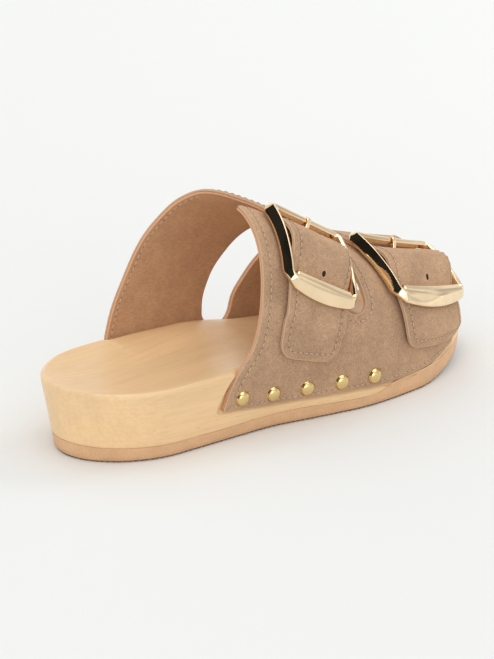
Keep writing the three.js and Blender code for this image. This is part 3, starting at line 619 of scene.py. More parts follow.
class Strap:
    """A buckled strap in its own flat plan: across runs to the toe, and up from the tab to the crown."""

    # How far the bulge stays clear of the top rail, and the ramp at the end of the keeper's tail.
    RAIL_CLEARANCE = mm(1.2)
    TAIL_RAMP = mm(6)
    # How much fuller the bulge is on the side of the toe, and how far the frame's middle is drawn in.
    TOEWARD = 1.0
    STRAIGHTENED = mm(1.5)

    def __init__(self, last, scene, name):
        place = STRAPS[name]
        self.name = name
        self.last = last
        self.upper = scene.mule_upper
        self.buckle = scene.mule_buckles
        self.along = place["along"]
        self.around = place["around"]
        self.tilt = math.radians(place["tilt"])
        self.lean = math.radians(place["lean"])
        self.slope = math.tan(math.radians(place["slant"]))
        self.tab = place["tab"]
        self.width = place["width"]
        self.length = place["length"]
        self.half = self.width / 2 - self.buckle.side_face - self.upper.side_clearance
        self.total = last.total(self.along)
        gap = self.upper.gap
        self.seat = self.upper.wall + gap
        self.bar_seat = self.seat + self.buckle.bar_lift
        self.bar_top = self.bar_seat + self.buckle.bar
        self.keeper_crest = self.bar_top + gap
        self.crest = self.keeper_crest + self.upper.keeper + gap
        self.on_keeper = self.seat + self.upper.keeper + gap
        self.top_rail = self.seat + self.upper.strap + gap + self.upper.rail_spare + self.buckle.top_lift
        self.low_rail = self.on_keeper + self.upper.strap + gap + self.upper.rail_spare
        self.full = self.tab + (JOIN_END - self.around) * self.total / math.cos(self.lean)

    def plan(self, across, up):
        """The place on the upper, along the sole and around the section."""
        forward = across * math.cos(self.tilt) + up * math.sin(self.lean)
        rise = up * math.cos(self.lean) - across * math.sin(self.tilt)
        return self.along + forward / self.last.sole.length, self.around + rise / self.total

    def point(self, across, up, height):
        """A point at a height above the upper's inside."""
        return self.last.wall(*self.plan(across, up), height)

    def outward(self, across, up):
        """The direction out of the upper."""
        return self.last.normal(*self.plan(across, up))

    def underside(self, up):
        """Height of the strap's underside, which swells over the bar and tucks under both rails."""
        up = np.asarray(up, float)
        rail_top = self.length / 2 - self.buckle.top_face - self.RAIL_CLEARANCE
        tail = self.upper.keeper_tail
        off_keeper = np.where(up < 0, smooth(-tail, -tail - self.TAIL_RAMP, up),
                              smooth(self.upper.keeper_reach, rail_top, up))
        resting = mix(self.on_keeper, self.seat, off_keeper)
        low_rail = self.length / 2 - self.buckle.lower_face
        sunk = smooth(0, np.where(up < 0, low_rail, rail_top), np.abs(up))
        return mix(self.crest, resting, sunk)

    def swell(self, across, up):
        """How much higher the middle of the bulge lies than its sides."""
        in_frame = np.clip(1 - (up / (self.length / 2 - self.buckle.top_face)) ** 2, 0, 1)
        share = np.clip(across / self.half, -1, 1)
        return self.upper.pillow * in_frame * (1 - share ** 8) * (1 + self.TOEWARD * share)

    def tab_half(self, from_end):
        """Half width, which is rounded at the two corners of the tab."""
        corner = self.upper.tab_corner
        return self.half - corner + corner * round_end(from_end, corner)

    def slant(self, across, from_end):
        """How far the end of the tab slants at a place across it."""
        return across * self.slope * smooth(self.tab * 0.6, 0, from_end)


# Node materials

def node(tree, kind, settings=None, inputs=None):
    """Adds a node with its settings, and sets or links its inputs."""
    made = tree.nodes.new(kind)
    for key, value in (settings or {}).items():
        setattr(made, key, value)
    for key, value in (inputs or {}).items():
        if isinstance(value, bpy.types.NodeSocket):
            tree.links.new(value, made.inputs[key])
        else:
            made.inputs[key].default_value = value
    return made


def rgba(value, factor=1.0):
    """A colour as red, green, blue and alpha, made lighter or darker by a factor."""
    return tuple(min(1.0, channel * factor) for channel in value) + (1.0,)


WHITE = (1.0, 1.0, 1.0)

# Layers of cloud that more than one finish has. Fibres of a cut and pores of rubber are drawn coarser
# than the real ones, which are too fine to show.
FIBRES = {"size": 0.5, "detail": 3, "uneven": 0.6, "low": 0.25, "high": 0.75, "light": 1.08}
PORES = ({"size": 8, "detail": 2, "uneven": 0.5, "dark": 0.94, "light": 1.04},
         {"size": 0.8, "detail": 2, "uneven": 0.6, "dark": (0.9, 0.88, 0.86), "light": WHITE})
POLISH = {"size": 7, "detail": 2, "uneven": 0.5, "dark": 0.95, "light": 1.02}
WEAR = {"size": 1.2, "detail": 3.0, "uneven": 0.6, "low": 0.3, "high": 0.7}

# Relief and values that more than one finish has.
CUT = {"relief": ((0,), 0.1, 0.4), "values": {"Roughness": 0.8, "Specular IOR Level": 0.3}}
RUBBER = {"layers": PORES, "relief": ((1,), 0.08, 0.35)}
METAL = {"layers": (POLISH,), "relief": ((0,), 0.01, 0.5), "values": {"Metallic": 1.0}}

# Each finish has its colour from the panel and its layers. A layer is a cloud with features of a size in
# millimetres, which goes from its dark to its light tint as the cloud's value goes from low to high. The
# first layer's tints are factors of the colour, and the later ones tint it further by their share.
# Relief gives the layers that raise the surface, its depth in millimetres and its strength, and the
# values go on the shader's own sockets. Sheen is tinted by a factor of the colour, and a worn metal's
# roughness goes from its smoothest to its roughest places.
FINISHES = {
    # Brushed split leather: the short nap lies in patches, so it looks soft, cloudy and never shines.
    # The real fibres, about 0.2 mm apart, are too fine to show and are drawn 0.75 and 2.4 mm apart.
    "brushed_suede": {
        "colour": "suede",
        "layers": (
            {"size": 18, "detail": 3, "uneven": 0.55, "dark": 0.89, "light": 1.11},
            {"size": 2.4, "detail": 3, "uneven": 0.6, "low": 0.28, "high": 0.72,
             "dark": (0.9, 0.885, 0.87), "light": WHITE},
            {"size": 0.75, "detail": 2, "uneven": 0.7, "dark": (0.7, 0.68, 0.66), "light": WHITE,
             "share": 0.95}),
        "relief": ((2, 1), 0.22, 0.55),
        "values": {"Roughness": 0.95, "Specular IOR Level": 0.15, "Sheen Weight": 0.35,
                   "Sheen Roughness": 0.5},
        "sheen_tint": 1.5},
    # Vegetable-tanned split lining: warm tan, with fibres and a dry matt surface. The fibres are drawn
    # 0.9 mm apart, coarser than the real ones, so that they show.
    "lining_leather": {
        "colour": "lining",
        "layers": (
            {"size": 9, "detail": 3, "uneven": 0.6, "dark": 0.92, "light": 1.04},
            {"size": 0.9, "detail": 3, "uneven": 0.7, "stretch": (1, 0.45, 1), "low": 0.25, "high": 0.75,
             "dark": (0.8, 0.77, 0.74), "light": WHITE}),
        "relief": ((1,), 0.16, 0.5),
        "values": {"Roughness": 0.85, "Specular IOR Level": 0.3}},
    # The cut edge of suede: open fibres a little paler than the face give a dry, even line.
    "cut_suede": {"colour": "suede_edge", "layers": ({**FIBRES, "dark": 0.85},), **CUT},
    # The raw edge of the lining: undyed fibres that show as an orange line beside the suede.
    "cut_lining": {"colour": "raw_edge", "layers": ({**FIBRES, "dark": 0.85},), **CUT},
    # Beech, sanded and satin varnished: fine grain and short flecks run to the toe under a soft shine.
    "satin_beech": {
        "colour": "beech",
        "layers": (
            {"size": 26, "detail": 3, "uneven": 0.55, "stretch": (1.6, 0.16, 1), "dark": 0.93,
             "light": 1.03},
            {"size": 1.5, "detail": 4, "uneven": 0.65, "stretch": (1, 0.045, 1), "high": 0.66,
             "dark": (0.9, 0.84, 0.76), "light": WHITE, "share": 0.6},
            {"size": 0.9, "detail": 1, "uneven": 0.5, "stretch": (1, 0.16, 1), "low": 0.68, "high": 0.78,
             "dark": WHITE, "light": (0.84, 0.72, 0.58), "share": 0.6}),
        "relief": ((1,), 0.05, 0.25),
        "values": {"Roughness": 0.46, "Coat Weight": 0.3, "Coat Roughness": 0.28}},
    # Moulded micro-cellular rubber: matt, with a faint skin of fine pores.
    "moulded_rubber": {"colour": "outsole", **RUBBER, "values": {"Roughness": 0.62}},
    # The same rubber on its ribs at the floor: a darker colour and a drier surface.
    "scuffed_tread": {"colour": "tread", **RUBBER, "values": {"Roughness": 0.85}},
    # Cast zinc, polished and plated in pale gold: it mirrors the room in crisp, slightly uneven bands.
    "polished_pale_gold": {"colour": "gold", **METAL, "roughness": (0.048, 0.078)},
    # Pressed brass, polished: yellower than the frames, with softer reflections.
    "polished_brass": {"colour": "brass", **METAL, "roughness": (0.128, 0.208)},
    # Waxed polyester thread: its twist shows as a fine unevenness under a slight shine.
    "waxed_thread": {
        "colour": "thread",
        "layers": ({"size": 0.35, "detail": 2, "uneven": 0.5, "dark": 0.8, "light": 1.12},),
        "relief": ((0,), 0.08, 0.5),
        "values": {"Roughness": 0.6}},
    # Pricked needle holes: the suede is pressed together there and looks a shade darker, and the darker
    # colour is also painted shade for the inside of each hole.
    "needle_hole": {"colour": "needle", "layers": ({**FIBRES, "dark": 0.8},), **CUT},
    # Painted shade for a punched hole: a dark, matt disc stands in for the shaded inside of the hole.
    "punched_hole": {
        "colour": "hole",
        "layers": ({"size": 0.4, "detail": 2, "uneven": 0.5, "dark": 0.4, "light": 1.0},),
        "values": {"Roughness": 1.0, "Specular IOR Level": 0.1}},
    # Smooth matt backdrop paper: nearly white, with no shine and the faintest cloud.
    "backdrop_paper": {
        "colour": "floor",
        "layers": ({"size": 900, "detail": 2, "uneven": 0.5, "low": 0.2, "high": 0.8, "dark": 0.985,
                    "light": 1.0},),
        "values": {"Roughness": 1.0, "Specular IOR Level": 0.0}},
}


def finish(name):
    """A finish as a node material, made once from its row and then shared."""
    if name in bpy.data.materials:
        return bpy.data.materials[name]
    row = FINISHES[name]
    colour_value = getattr(bpy.context.scene.mule_colours, row["colour"])
    material = bpy.data.materials.new(name)
    material.use_nodes = True
    tree = material.node_tree
    tree.nodes.clear()
    shader = node(tree, "ShaderNodeBsdfPrincipled")
    node(tree, "ShaderNodeOutputMaterial", inputs={"Surface": shader.outputs["BSDF"]})
    place = node(tree, "ShaderNodeTexCoord").outputs["Object"]
    base = None
    clouds = []
    for layer in row["layers"]:
        at = place
        if "stretch" in layer:
            at = node(tree, "ShaderNodeMapping",
                      inputs={"Vector": place, "Scale": layer["stretch"]}).outputs[0]
        clouds.append(node(tree, "ShaderNodeTexNoise", inputs={
            "Vector": at, "Scale": 1 / mm(layer["size"]), "Detail": layer["detail"],
            "Roughness": layer["uneven"]}).outputs[0])
        shift = node(tree, "ShaderNodeMapRange", {"interpolation_type": "SMOOTHSTEP"}, {
            "Value": clouds[-1], "From Min": layer.get("low", 0.3),
            "From Max": layer.get("high", 0.7)}).outputs[0]
        dark, light = (rgba(layer[end]) if base else rgba(colour_value, layer[end])
                       for end in ("dark", "light"))
        tint = node(tree, "ShaderNodeMix", {"data_type": "RGBA"},
                    {0: shift, 6: dark, 7: light}).outputs[2]
        base = tint if not base else node(
            tree, "ShaderNodeMix", {"data_type": "RGBA", "blend_type": "MULTIPLY"},
            {0: layer.get("share", 1.0), 6: base, 7: tint}).outputs[2]
    tree.links.new(base, shader.inputs["Base Color"])
    for socket, value in row["values"].items():
        shader.inputs[socket].default_value = value
    if "sheen_tint" in row:
        shader.inputs["Sheen Tint"].default_value = rgba(colour_value, row["sheen_tint"])
    if "roughness" in row:
        wear = node(tree, "ShaderNodeTexNoise", inputs={
            "Vector": place, "Scale": 1 / mm(WEAR["size"]), "Detail": WEAR["detail"],
            "Roughness": WEAR["uneven"]}).outputs[0]
        smoothest, roughest = row["roughness"]
        spread = node(tree, "ShaderNodeMapRange", inputs={
            "Value": wear, "From Min": WEAR["low"], "From Max": WEAR["high"], "To Min": smoothest,
            "To Max": roughest})
        tree.links.new(spread.outputs[0], shader.inputs["Roughness"])
    if "relief" in row:
        raising, depth, strength = row["relief"]
        height = clouds[raising[0]]
        for index in raising[1:]:
            height = node(tree, "ShaderNodeMath", {"operation": "ADD"},
                          {0: height, 1: clouds[index]}).outputs[0]
        raised = node(tree, "ShaderNodeBump", inputs={
            "Strength": strength, "Distance": mm(depth), "Height": height})
        tree.links.new(raised.outputs[0], shader.inputs["Normal"])
    return material


def dress(piece, slot, *nodes):
    """Lets a piece ride on the shoe and stand for CAD nodes."""
    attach(piece, BODY)
    if nodes:
        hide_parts(*nodes)


def even_shading(piece):
    """Keeps flat faces flat beside their small bevels."""
    modifier = piece.modifiers.new("even_shading", "WEIGHTED_NORMAL")
    modifier.weight = 50


# Wooden sole and outsole

# Places in the plain run of stations where the rabbet starts and ends, and the length of its ramps.
RABBET_ENDS = (0.26, 0.9)
RABBET_RAMP = mm(2.5)
RABBET_MARGIN = mm(1.7)
LIP = 0.8
LIP_DROP = mm(0.4)
LEDGE_ROUND = 0.1

# Shares of the way from hem to rim, and from the hem's ledge down to the joint.
RISES = (0.8, 0.6, 0.4, 0.2, 0)
DROPS = (0.3, 0.6, 0.9)
FOOTBED_STEPS = 61
ROUND_STEPS = 6
UNDER_STEPS = 9

# The wood's lower edge and the outsole's upper edge, each as inset and height from the joint.
WOOD_EDGE = ((mm(0.05), mm(0.12)), (mm(0.2), 0))
OUTSOLE_EDGE = ((mm(0.2), 0), (mm(0.05), -mm(0.12)), (0, -mm(0.35)))

# Tread: depth of its grooves, height of the slopes over and under its ribs, how far the ribs and the
# underside stand in, and the largest share of the outsole's height that the ribs may take.
GROOVE = mm(0.8)
TREAD_LEDGE = mm(0.3)
TREAD_INSET = mm(0.35)
FLOOR_INSET = mm(0.8)
TREAD_LIMIT = 0.4

# Where the heel's close stations end and the toe's begin.
CLOSE_ENDS = (0.17, 0.75)


def stations(heel, middle, toe):
    """Places along the sole, closer together round its two ends."""
    quarter = 1 - np.cos(np.linspace(0, np.pi / 2, heel + 1))
    start, end = CLOSE_ENDS
    rear = start * quarter[:-1]
    front = 1 - (1 - end) * (1 - np.cos(np.linspace(np.pi / 2, 0, toe + 1)))
    return np.concatenate([rear, np.linspace(start, end, middle, endpoint=False), front])


class SoleSides:
    """Places on the sole's sides, where the stations line up with the ends of the rabbet."""

    def __init__(self, last):
        self.last = last
        self.ramp = RABBET_RAMP / last.sole.length
        section = last.section(0.5)
        lengths = np.cumsum(np.linalg.norm(np.diff(section, axis=0), axis=1))
        self.rim_around = lengths[last.HEM_STEPS - 1] / lengths[-1]

    def along(self, station, side, rise):
        """The place of a station on one side, at a share of the way from hem to rim."""
        reach = self.rim_around * rise
        margin = RABBET_MARGIN / self.last.sole.length
        edges = LATERAL_EDGES if side > 0 else MEDIAL_EDGES
        around = reach if side > 0 else 1 - reach
        rear = column(edges, "around", "rear")(around) - margin
        front = column(edges, "around", "front")(around) + margin
        start, end = RABBET_ENDS
        plain = [0, start - self.ramp, start, end, end + self.ramp, 1]
        real = [0, rear - self.ramp, rear, front, front + self.ramp, 1]
        return np.interp(station, plain, real)


def wood_rings(last, places):
    """Rings of the wooden sole, over the footbed, down the lateral side, under and up again."""
    sides = SoleSides(last)
    sole = last.sole
    start, end = RABBET_ENDS
    cut = sole.rabbet * np.clip((places - start) / sides.ramp + 1, 0, 1)
    cut = cut * np.clip((end - places) / sides.ramp + 1, 0, 1)
    gap = last.upper.gap
    arc = np.linspace(0, np.pi / 2, ROUND_STEPS)
    rings = []
    rims = {}
    for side in (-1, 1):
        along = sides.along(places, side, 1)
        rims[side] = (along, last.side(along, side, -cut - sole.rim_round, last.rim_z(along)))
    shares = (1 - np.cos(np.linspace(0, np.pi, FOOTBED_STEPS))) / 2
    for share in shares:
        along = mix(rims[-1][0], rims[1][0], share)
        point = mix(rims[-1][1], rims[1][1], share)
        point[:, 2] = last.footbed_z(along, share * 2 - 1)
        rings.append(point)

    def down(side):
        points = []
        along = sides.along(places, side, 1)
        rim = last.rim_z(along)
        for angle in arc[1:]:
            inset = sole.rim_round * (1 - math.sin(angle))
            z = rim - sole.rim_round * (1 - math.cos(angle))
            points.append(last.leaning(along, side, -cut - inset, z))
        for rise in RISES:
            along = sides.along(places, side, rise)
            z = mix(last.hem_z(along) - gap, last.rim_z(along) - sole.rim_round, rise)
            points.append(last.leaning(along, side, -cut, z))
        along = sides.along(places, side, 0)
        ledge = last.hem_z(along) - gap - cut * LIP
        points.append(last.leaning(along, side, -cut * LEDGE_ROUND, ledge + cut * LEDGE_ROUND))
        points.append(last.leaning(along, side, 0, ledge - LIP_DROP))
        joint = last.joint_z(along)
        points.extend(last.leaning(along, side, 0, mix(ledge, joint, share)) for share in DROPS)
        points.extend(last.leaning(along, side, -inset, joint + rise) for inset, rise in WOOD_EDGE)
        return points

    rings.extend(down(1))
    inset = WOOD_EDGE[-1][0]
    ends = {side: last.leaning(sides.along(places, side, 0), side, -inset, 0) for side in (-1, 1)}
    for share in np.linspace(0, 1, UNDER_STEPS)[1:-1]:
        point = mix(ends[1], ends[-1], share)
        along = mix(sides.along(places, 1, 0), sides.along(places, -1, 0), share)
        point[:, 2] = last.joint_z(along)
        rings.append(point)
    rings.extend(reversed(down(-1)))
    return np.array(rings).transpose(1, 0, 2)


def outsole_rings(last, places):
    """Rings of the outsole: down the lateral side, under and up the medial side, with tread ribs."""
    sides = SoleSides(last)
    sole = last.sole
    gap = last.upper.gap

    def edge(side, inset, z):
        along = sides.along(places, side, 0)
        return last.side(along, side, -last.flare(along, z) - inset, z)

    def contour(side):
        along = sides.along(places, side, 0)
        joint = last.joint_z(along) - gap / 3
        floor = last.floor_z(along)
        line = edge(side, 0, floor)
        steps = np.linalg.norm(np.diff(line, axis=0), axis=1)
        run = np.concatenate(([0], np.cumsum(steps)))
        rib = np.where(np.sin(2 * np.pi * run / sole.tread_pitch) > 0, 1.0, 0.0)
        groove = (1 - rib) * GROOVE
        top = floor + np.minimum(sole.tread_height, (joint - floor) * TREAD_LIMIT)
        levels = [(inset, joint + rise, 0) for inset, rise in OUTSOLE_EDGE]
        levels += [(0, mix(joint, floor, 0.5), 0), (0, top + TREAD_LEDGE, 0), (TREAD_INSET, top, 0),
                   (TREAD_INSET, top - mm(0.05), 1), (TREAD_INSET, floor + TREAD_LEDGE, 1),
                   (FLOOR_INSET, floor, 1)]
        return [edge(side, inset + groove * ribbed, z) for inset, z, ribbed in levels], along

    lateral, along_lateral = contour(1)
    medial, along_medial = contour(-1)

    def across(first, second, height):
        points = []
        for share in np.linspace(0, 1, UNDER_STEPS)[1:-1]:
            point = mix(first, second, share)
            point[:, 2] = height
            points.append(point)
        return points

    top = last.joint_z(mix(along_lateral, along_medial, 0.5)) - gap / 3
    floor = last.floor_z(mix(along_lateral, along_medial, 0.5))
    rings = lateral + across(lateral[-1], medial[-1], floor) + medial[::-1]
    rings = rings + across(medial[0], lateral[0], top)
    return np.array(rings).transpose(1, 0, 2)


class MULE_OT_sole(bpy.types.Operator):
    """Makes the contoured wooden sole."""
    bl_idname = "mule.sole"
    bl_label = "Wooden sole"

    def execute(self, context):
        scene = context.scene
        last = Last(scene)
        places = stations(26, 130, 34)
        ramp_share = RABBET_RAMP / scene.mule_sole.length
        cuts = [RABBET_ENDS[0] - ramp_share, RABBET_ENDS[0], RABBET_ENDS[1], RABBET_ENDS[1] + ramp_share]
        places = np.array([p for p in places if min(abs(p - c) for c in cuts) > ramp_share / 3])
        places = np.sort(np.concatenate([places, cuts]))
        shape = Shape()
        loft(shape, wood_rings(last, places), caps=False)
        piece = shape.mesh("wooden_sole", "satin_beech")
        dress(piece, "beech", "wood_sole")
        return {"FINISHED"}


class MULE_OT_outsole(bpy.types.Operator):
    """Makes the rubber outsole with its fine tread at the floor."""
    bl_idname = "mule.outsole"
    bl_label = "Outsole"

    def execute(self, context):
        scene = context.scene
        last = Last(scene)
        rings = outsole_rings(last, stations(60, 260, 90))
        shape = Shape()
        loft(shape, rings, caps=False)
        piece = shape.mesh("rubber_outsole", "moulded_rubber", "scuffed_tread")
        for polygon in piece.data.polygons:
            centre = polygon.center
            along = centre.y / scene.mule_sole.length + 0.5
            floor = float(last.floor_z(np.array(along)))
            low = centre.z < floor + scene.mule_sole.tread_height
            polygon.material_index = 1 if low else 0
        dress(piece, "tread_rubber", "outsole")
        return {"FINISHED"}


# Upper

# The two layers' faces and then their cut edges, in the order of a sheet's slots.
LEATHER_FINISHES = ("brushed_suede", "lining_leather", "cut_suede", "cut_lining")
SUEDE_EDGE = LEATHER_FINISHES.index("cut_suede")
RAW_EDGE = LEATHER_FINISHES.index("cut_lining")
STRAP_ROWS = 84


def slot_edges(rows, around, end, direction):
    """The slot's two edges, which follow a circle near its round end."""
    back = column(rows, "around", "slot_back")(around)
    front = column(rows, "around", "slot_front")(around)
    middle = (back + front) / 2
    half = (front - back) / 2 * round_end((around - end) * direction, SLOT_ROUND)
    return middle - half, middle + half


def two_straps(rear, back, front, toe, length):
    """Places along the sole for each row's corners, over the rear strap and then the front strap."""
    shares_rear = edge_shares((back - rear) * length, 20)
    shares_front = edge_shares((toe - front) * length, 26)
    return np.concatenate([mix(rear[:, None], back[:, None], shares_rear),
                           mix(front[:, None], toe[:, None], shares_front)], axis=1), shares_rear.shape[1]


# The outer face's rolled edge and the groove under the stitches, each as its depth and width.
ROLL = (mm(0.5), mm(1.8))
DENT = (mm(0.26), mm(0.75))


def relief(distance, margin):
    """Relief of the outer face by the distance from an edge: a rolled edge and the stitches' groove."""
    rolled = -ROLL[0] * (1 - smooth(0, ROLL[1], distance))
    groove = -DENT[0] * np.exp(-((distance - margin) / DENT[1]) ** 2)
    return rolled + groove


def from_edges(along, split, length):
    """Distance of each place from the nearer edge of its own strap."""
    distances = [np.minimum(part - part[:, :1], part[:, -1:] - part) * length
                 for part in (along[:, :split], along[:, split:])]
    return np.concatenate(distances, axis=1)


def open_cells(along, split):
    """The cells that are kept: all but those of the open slot."""
    rows, columns = along.shape
    keep = np.ones((rows - 1, columns - 1), bool)
    closed = np.abs(along[:, split] - along[:, split - 1]) < 1e-6
    keep[:, split - 1] = closed[:-1] & closed[1:]
    return keep


class StrapSheet:
    """A strap from its tab to where it joins the medial piece, at distances from the end of the tab."""

    SIDES = {"rear": ("rear", "slot_back"), "front": ("slot_front", "front")}

    def __init__(self, strap, from_end):
        self.strap = strap
        self.from_end = from_end
        self.half = strap.tab_half(from_end)
        self.centre = strap.around + (from_end - strap.tab) * math.cos(strap.lean) / strap.total
        self.first, self.second = (column(MEDIAL_EDGES, "around", side)(self.centre)
                                   for side in self.SIDES[strap.name])
        self.wide = (self.second - self.first) * strap.last.sole.length
        start = strap.around + (strap.length / 2 + mm(1)) * math.cos(strap.lean) / strap.total
        self.joined = smooth(start, JOIN_END, self.centre)[:, None]

    def place(self, shares, wide_shares):
        """Places on the upper and heights of both faces, at shares of the strap's and the wide width."""
        strap = self.strap
        across = mix(-self.half[:, None], self.half[:, None], shares)
        up = self.from_end[:, None] - strap.tab - strap.slant(across, self.from_end[:, None])
        along, around = strap.plan(across, up)
        wide = mix(self.first[:, None], self.second[:, None], wide_shares)
        along = mix(along, wide, self.joined)
        around = mix(around, self.centre[:, None], self.joined)
        settled = smooth(CLIMB[1], CLIMB[0], self.centre)[:, None]
        low = mix(strap.underside(up), 0, settled) + strap.swell(across, up)
        return along, around, low, low + mix(strap.upper.strap, strap.upper.wall, settled)


class MULE_OT_upper(bpy.types.Operator):
    """Makes the suede upper: the lateral quarter, and the medial piece with both straps."""
    bl_idname = "mule.upper"
    bl_label = "Suede upper"

    # The medial piece's cut edges show the lining's raw edge only up to this far to the lateral side, and
    # are all suede beyond it.
    LINED_UP_TO = mm(22)

    def execute(self, context):
        scene = context.scene
        last = Last(scene)
        self.quarter(scene, last)
        self.medial(scene, last)
        return {"FINISHED"}

    def quarter(self, scene, last):
        """The lateral quarter, from its hem to its edge under the crossing."""
        ends = SLOT_LATERAL_END + SLOT_ROUND * (1 - np.cos(np.linspace(0, np.pi / 2, 12)))
        around = np.concatenate([np.linspace(0, SLOT_LATERAL_END, 40, endpoint=False), ends,
                                 np.linspace(SLOT_LATERAL_END + SLOT_ROUND, LATERAL_TOP, 50)[1:]])
        rear = column(LATERAL_EDGES, "around", "rear")(around)
        toe = column(LATERAL_EDGES, "around", "front")(around)
        back, front = slot_edges(LATERAL_EDGES, around, SLOT_LATERAL_END, 1)
        along, split = two_straps(rear, back, front, toe, last.sole.length)
        keep = open_cells(along, split)
        margin = scene.mule_thread.margin
        dip = relief(from_edges(along, split, last.sole.length), margin)
        dip = dip * np.where(around > SLOT_LATERAL_END, 1.0, smooth(0.5, 0.52, along[:, split]))[:, None]
        outer = last.wall(along, around[:, None], scene.mule_upper.wall + dip)
        inner = last.wall(along, around[:, None], 0)
        shape = Shape()
        leather(shape, outer, inner, keep)
        piece = shape.mesh("lateral_quarter", *LEATHER_FINISHES)
        dress(piece, "suede", "upper")

    def medial(self, scene, last):
        """The medial piece: both tabs and straps, the crossing and the side down to the hem."""
        upper = scene.mule_upper
        ends = SLOT_MEDIAL_END - SLOT_ROUND * (1 - np.cos(np.linspace(np.pi / 2, 0, 12)))
        around = np.concatenate([np.linspace(JOIN_END, SLOT_MEDIAL_END - SLOT_ROUND, 96), ends[1:],
                                 np.linspace(SLOT_MEDIAL_END, 1, 16)[1:]])
        rear = column(MEDIAL_EDGES, "around", "rear")
        toe = column(MEDIAL_EDGES, "around", "front")
        back, front = slot_edges(MEDIAL_EDGES, around, SLOT_MEDIAL_END, -1)
        along, split = two_straps(rear(around), back, front, toe(around), last.sole.length)
        low = mix(upper.wall + upper.gap, 0, smooth(CLIMB[1], CLIMB[0], around))[:, None]
        high = low + mix(upper.strap, upper.wall, smooth(CLIMB[1], CLIMB[0], around))[:, None]
        dip = relief(from_edges(along, split, last.sole.length), scene.mule_thread.margin)
        high = high + dip * np.where(around > SLOT_MEDIAL_END, 0.0, 1.0)[:, None]
        outer = [last.wall(along, around[:, None], high)]
        inner = [last.wall(along, around[:, None], low)]
        keep = open_cells(along, split)
        straps = [self.strap_rows(Strap(last, scene, name), columns)
                  for name, columns in (("rear", split), ("front", along.shape[1] - split))]
        outer.insert(0, np.concatenate([strap[0] for strap in straps], axis=1)[:-1])
        inner.insert(0, np.concatenate([strap[1] for strap in straps], axis=1)[:-1])
        kept = np.ones((STRAP_ROWS - 1, along.shape[1] - 1), bool)
        kept[:, split - 1] = False
        keep = np.concatenate([kept, keep])
        shape = Shape()
        leather(shape, np.concatenate(outer), np.concatenate(inner), keep)
        piece = shape.mesh("medial_piece", *LEATHER_FINISHES)
        for polygon in piece.data.polygons:
            if polygon.material_index == RAW_EDGE and polygon.center.x > self.LINED_UP_TO:
                polygon.material_index = SUEDE_EDGE
        dress(piece, "suede", "upper")

    def strap_rows(self, strap, columns):
        """Outer and inner points of one strap, from the end of its tab to the side of the medial piece."""
        sheet = StrapSheet(strap, strap.full * np.linspace(0, 1, STRAP_ROWS) ** 1.2)
        count = columns - 2 * len(NEAR_EDGE)
        shares = edge_shares(2 * sheet.half, count)
        along, around, low, high = sheet.place(shares, edge_shares(sheet.wide, count))
        widths = mix(2 * sheet.half[:, None], sheet.wide[:, None], sheet.joined)
        nearest = np.minimum(np.minimum(shares, 1 - shares) * widths, sheet.from_end[:, None])
        high = high + relief(nearest, bpy.context.scene.mule_thread.margin)
        return strap.last.wall(along, around, high), strap.last.wall(along, around, low)


class MULE_OT_keepers(bpy.types.Operator):
    """Makes the thin keepers that hold the buckles' bars."""
    bl_idname = "mule.keepers"
    bl_label = "Keepers"

    SPARE = mm(6)

    def execute(self, context):
        scene = context.scene
        last = Last(scene)
        for name in STRAPS:
            strap = Strap(last, scene, name)
            half = strap.half - self.SPARE / 2
            reach = scene.mule_upper.keeper_reach
            up = np.concatenate([np.linspace(-scene.mule_upper.keeper_tail, -reach, 16, endpoint=False),
                                 np.linspace(-reach, reach, 33)])[:, None]
            across = np.linspace(-half, half, 13)[None]
            low = mix(strap.keeper_crest, strap.seat, smooth(0, reach, np.abs(up)))
            outer = strap.point(across, up, low + scene.mule_upper.keeper)
            inner = strap.point(across, up, low)
            shape = Shape()
            keep = np.ones((outer.shape[0] - 1, outer.shape[1] - 1), bool)
            leather(shape, outer, inner, keep)
            piece = shape.mesh(f"{name}_leather_keeper", *["brushed_suede"] * len(LEATHER_FINISHES))
            dress(piece, "suede", f"{name}_keeper")
        return {"FINISHED"}


# Buckles

# Section of a rail from its inner to its outer edge: out in shares of its face, and up in shares of its
# depth, for the side rails and for the top and lower rails. The inner face rises to a narrow, nearly flat
# ridge. Beyond it a broad face leans down, steeply on a side rail and gently on the others.
RAIL_SECTION = table(
    "out side cross",
    (0.02, 0.00, 0.00),
    (0.00, 0.08, 0.08),
    (0.00, 0.78, 0.60),
    (0.03, 0.85, 0.68),
    (0.22, 0.97, 0.90),
    (0.26, 0.99, 0.94),
    (0.42, 1.00, 1.00),
    (0.56, 0.985, 0.95),
    (0.94, 0.30, 0.62),
    (0.975, 0.24, 0.52),
    (1.00, 0.16, 0.36),
    (1.00, 0.06, 0.10),
    (0.98, 0.00, 0.00),
)


def frame_path(width, length, corner):
    """Points round a rounded rectangle as across, up and their outward direction."""
    path = []
    half_across = width / 2 - corner
    half_up = length / 2 - corner
    corners = [(1, -1, -90), (1, 1, 0), (-1, 1, 90), (-1, -1, 180)]
    for index, (sign_across, sign_up, start) in enumerate(corners):
        for step in np.linspace(0, 1, 19):
            angle = math.radians(start + 90 * step)
            path.append((sign_across * half_across + corner * math.cos(angle),
                         sign_up * half_up + corner * math.sin(angle), math.cos(angle), math.sin(angle)))
        after = corners[(index + 1) % 4]
        last_point = path[-1]
        goal = (after[0] * half_across + corner * last_point[2],
                after[1] * half_up + corner * last_point[3])
        for step in np.linspace(0, 1, 26)[1:-1]:
            path.append((mix(last_point[0], goal[0], step), mix(last_point[1], goal[1], step),
                         last_point[2], last_point[3]))
    return np.array(path)


